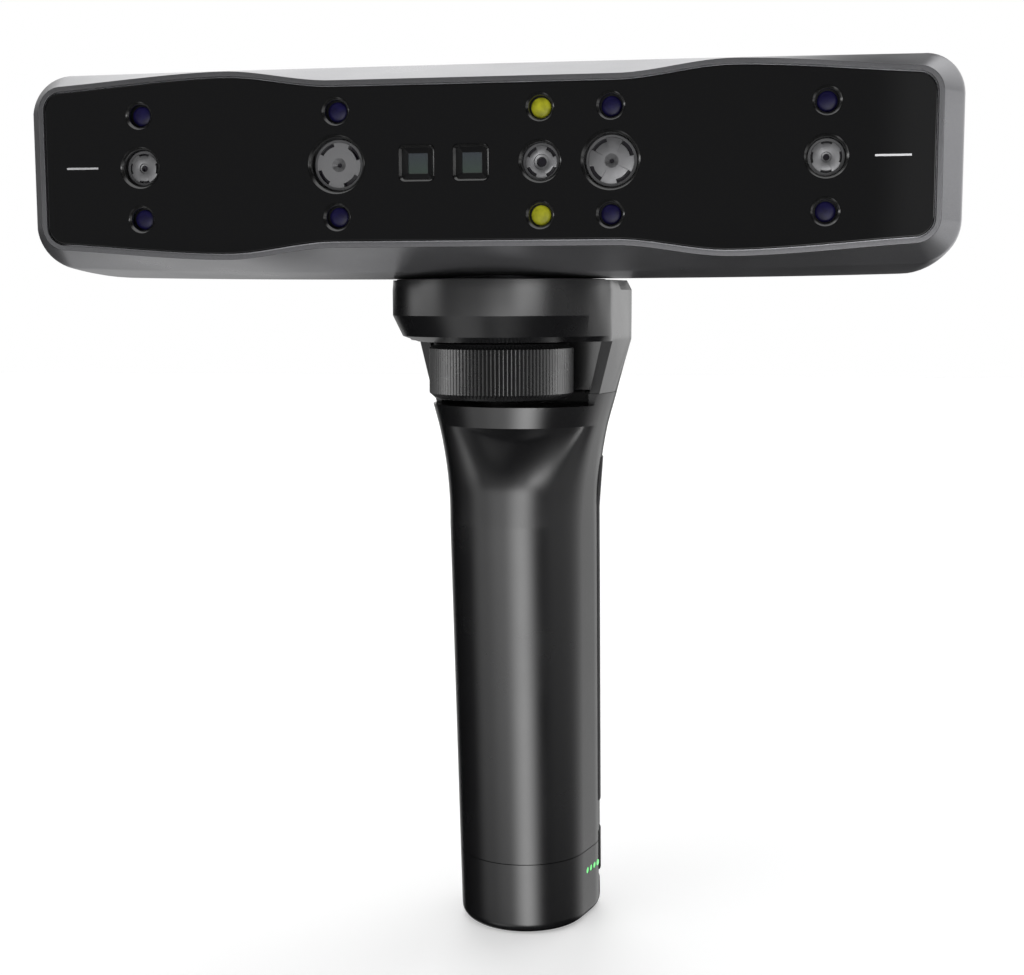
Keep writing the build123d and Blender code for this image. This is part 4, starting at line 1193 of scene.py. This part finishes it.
def makeSmallPieces():
    for name, node, width, material, body, slot in (
            ("batteryLatch", "battery_latch", 0.3, plastic, "latch", "handle_shell"),
            ("powerButton", "power_button", 0.35, keyPlastic, "power_key", "keys"),
            ("scanButton", "scan_button", 0.3, keyPlastic, "scan_key", "keys"),
            ("minusButton", "minus_button", 0.3, keyPlastic, "minus_key", "keys"),
            ("plusButton", "plus_button", 0.3, keyPlastic, "plus_key", "keys"),
            ("chargeLights", "charge_lights", 0.12, greenLight, "battery", "light_pipe"),
            # painted shade: the mount plate is near-black for the shaded gap under the head
            ("mountPlate", "mount_plate", 0.25, plateShadeSteel, "head", "steel"),
            ("lockScrew", "lock_screw", 0.15, steel, "wheel", "steel"),
            ("coverScrews", "cover_screws", 0.2, steel, "head", "steel"),
            ("batteryCell", "battery_cell", 0.0, canFinish, "battery", "cell_can"),
            ("batteryCarrier", "battery_carrier", 0.3, innerPlastic, "battery", "inner_plastic")):
        finishPiece(cadCopy(name, node, width), material, body, slot, node)


def makePad():
    # Reaches nearly to the platform's edge and closes the gap under the head
    p = padSizes
    radius, low, high = p["radius"], yokeSizes["top"] - p["sink"], p["top"]
    profile = [(p["hole"], low), (radius, low), (radius, high - p["edge"]), (radius - p["edge"], high),
               (p["hole"], high)]
    pad = lathe("frictionPad", profile, 96, loop=True)
    smooth(pad)
    finishPiece(pad, rubber, "grip", "rubber", "friction_pad")


makeSmallPieces()
makePad()
print("small pieces made")


# Nodes that are shown as the CAD made them, by the slot that names their material
slotFinish = {"inner_plastic": innerPlastic, "lens_glass": lensFinish, "window": windowFinish,
              "circuit": board, "bench": benchPlastic, "steel": steel, "sight_mark": markSilver}


def dressKeptNodes():
    for name, node in nodes.items():
        if node.hide_render:
            continue
        finishes = node.data.materials
        slot = finishes[0].name.split(".")[0]
        for index in range(len(finishes)):
            finishes[index] = blackOxide if name == "yoke_screws" else slotFinish[slot]


dressKeptNodes()
print("kept nodes dressed")


# Floor and light

# Soft boxes round the object, all in degrees but the first: how bright, the direction from the head's
# front, where it fades out and is full at the left, is full and fades out at the right, fades out and
# is full below, and is full and fades out above
softBoxes = {
    "frontStrip": (7.6, 13, (30, 0), (0, 28), (-48, -38), (-3, -1.2)),
    "leftWall": (1.6, -40, (44, 18), (22, 57), (-36, -11), (-5, -2)),
    "leftPanel": (1.1, -20, (30, 6), (8, 30), (-40, -12), (-3, -1)),
    "rightWall": (0.85, 90, (45, 22), (10, 48), (-31, -4), (-5, -2)),
    "rightBack": (0.55, 160, (20, 8), (8, 25), (-9, -3), (3, 7)),
    "lowLeft": (1.2, -45, (35, 10), (20, 36), (-62, -52), (-42, -32)),
    "rearLow": (0.55, -155, (14, 6), (6, 14), (-55, -42), (-8, -2)),
    "levelStrip": (12.5, 37, (22, 4), (4, 28), (-1, 2), (4, 8)),
    "leftBox": (3.4, -77, (32, 18), (10, 28), (-3, 1), (5, 9)),
    "leftHigh": (1.4, -48, (35, 12), (12, 35), (18, 32), (50, 60)),
    "frontLevel": (0.9, -10, (45, 15), (15, 60), (-3, -1), (-0.5, 1)),
    "rightLevel": (1.1, 85, (30, 10), (15, 50), (-1, 4), (6, 12)),
    "frontFill": (0.5, -10, (60, 30), (30, 60), (0.8, 1.6), (8, 14)),
    "edgeFill": (0.6, 12, (9, 7.5), (5, 20), (0.8, 1.6), (8, 14)),
    "rearWall": (1.3, -165, (18, 13), (13, 27), (-1, 3), (60, 80)),
    "rightRear": (1.0, 150, (50, 14), (10, 20), (-40, -24), (60, 80)),
    "overhead": (1.2, 0, (182, 181), (181, 182), (35, 55), (91, 92))}
floorSizes = {"half": 3.0, "white": 0.8, "roughness": 0.6, "glow": 0.35}


def makeWorld():
    world = bpy.data.worlds.new("studio")
    world.use_nodes = True
    scene.world = world
    tree = world.node_tree

    def node(kind, **settings):
        made = tree.nodes.new(kind)
        for key, value in settings.items():
            setattr(made, key, value)
        return made

    def feed(socket, value):
        if hasattr(value, "links"):
            tree.links.new(value, socket)
        else:
            socket.default_value = value

    def maths(operation, a, b=0.0):
        made = node("ShaderNodeMath", operation=operation)
        feed(made.inputs[0], a)
        feed(made.inputs[1], b)
        return made.outputs[0]

    def spread(value, low, high, start, end):
        made = node("ShaderNodeMapRange", interpolation_type="SMOOTHSTEP")
        for socket, number in zip(made.inputs[:5], (value, low, high, start, end)):
            feed(socket, number)
        return made.outputs[0]

    def mix(share, first, second):
        made = node("ShaderNodeMix")
        for socket, number in zip((made.inputs[0], made.inputs[2], made.inputs[3]), (share, first, second)):
            feed(socket, number)
        return made.outputs[0]

    where = node("ShaderNodeTexCoord")
    split = node("ShaderNodeSeparateXYZ")
    feed(split.inputs[0], where.outputs["Generated"])
    turn = maths("ARCTAN2", split.outputs["X"], maths("MULTIPLY", split.outputs["Y"], -1.0))
    turn = maths("DEGREES", turn)
    rise = maths("DEGREES", maths("ARCSINE", split.outputs["Z"]))
    light = 0.0
    for glow, at, left, right, under, over in softBoxes.values():
        away = maths("WRAP", maths("SUBTRACT", turn, at), 180.0)
        away.node.inputs[2].default_value = -180.0
        share = spread(away, -left[0], -left[1], 0.0, glow)
        share = maths("MULTIPLY", share, spread(away, *right, 1.0, 0.0))
        share = maths("MULTIPLY", share, spread(rise, *under, 0.0, 1.0))
        share = maths("MULTIPLY", share, spread(rise, *over, 1.0, 0.0))
        light = maths("ADD", light, share)
    seen = node("ShaderNodeLightPath")
    background = tree.nodes["Background"]
    feed(background.inputs[1], mix(seen.outputs["Is Camera Ray"], light, 1.0))
    background.inputs[0].default_value = (1, 1, 1, 1)


def makeStudio():
    scene.view_settings.view_transform = "Standard"
    f = floorSizes
    size, white = f["half"], f["white"]
    mesh = bpy.data.meshes.new("floor")
    mesh.from_pydata([(-size, -size, 0), (size, -size, 0), (size, size, 0), (-size, size, 0)], [],
                     [(0, 1, 2, 3)])
    floor = bpy.data.objects.new("floor", mesh)
    scene.collection.objects.link(floor)
    floorFinish = newMaterial("paleFloor", (white, white, white), f["roughness"],
                              Emission_Strength=f["glow"], Emission_Color=(1, 1, 1, 1))
    varyRoughness(floorFinish, 60, f["roughness"] - 0.05, f["roughness"] + 0.05)
    floor.data.materials.append(floorFinish)
    floor.visible_glossy = False
    floor.visible_shadow = False
    makeWorld()


makeStudio()
print("floor and light made")
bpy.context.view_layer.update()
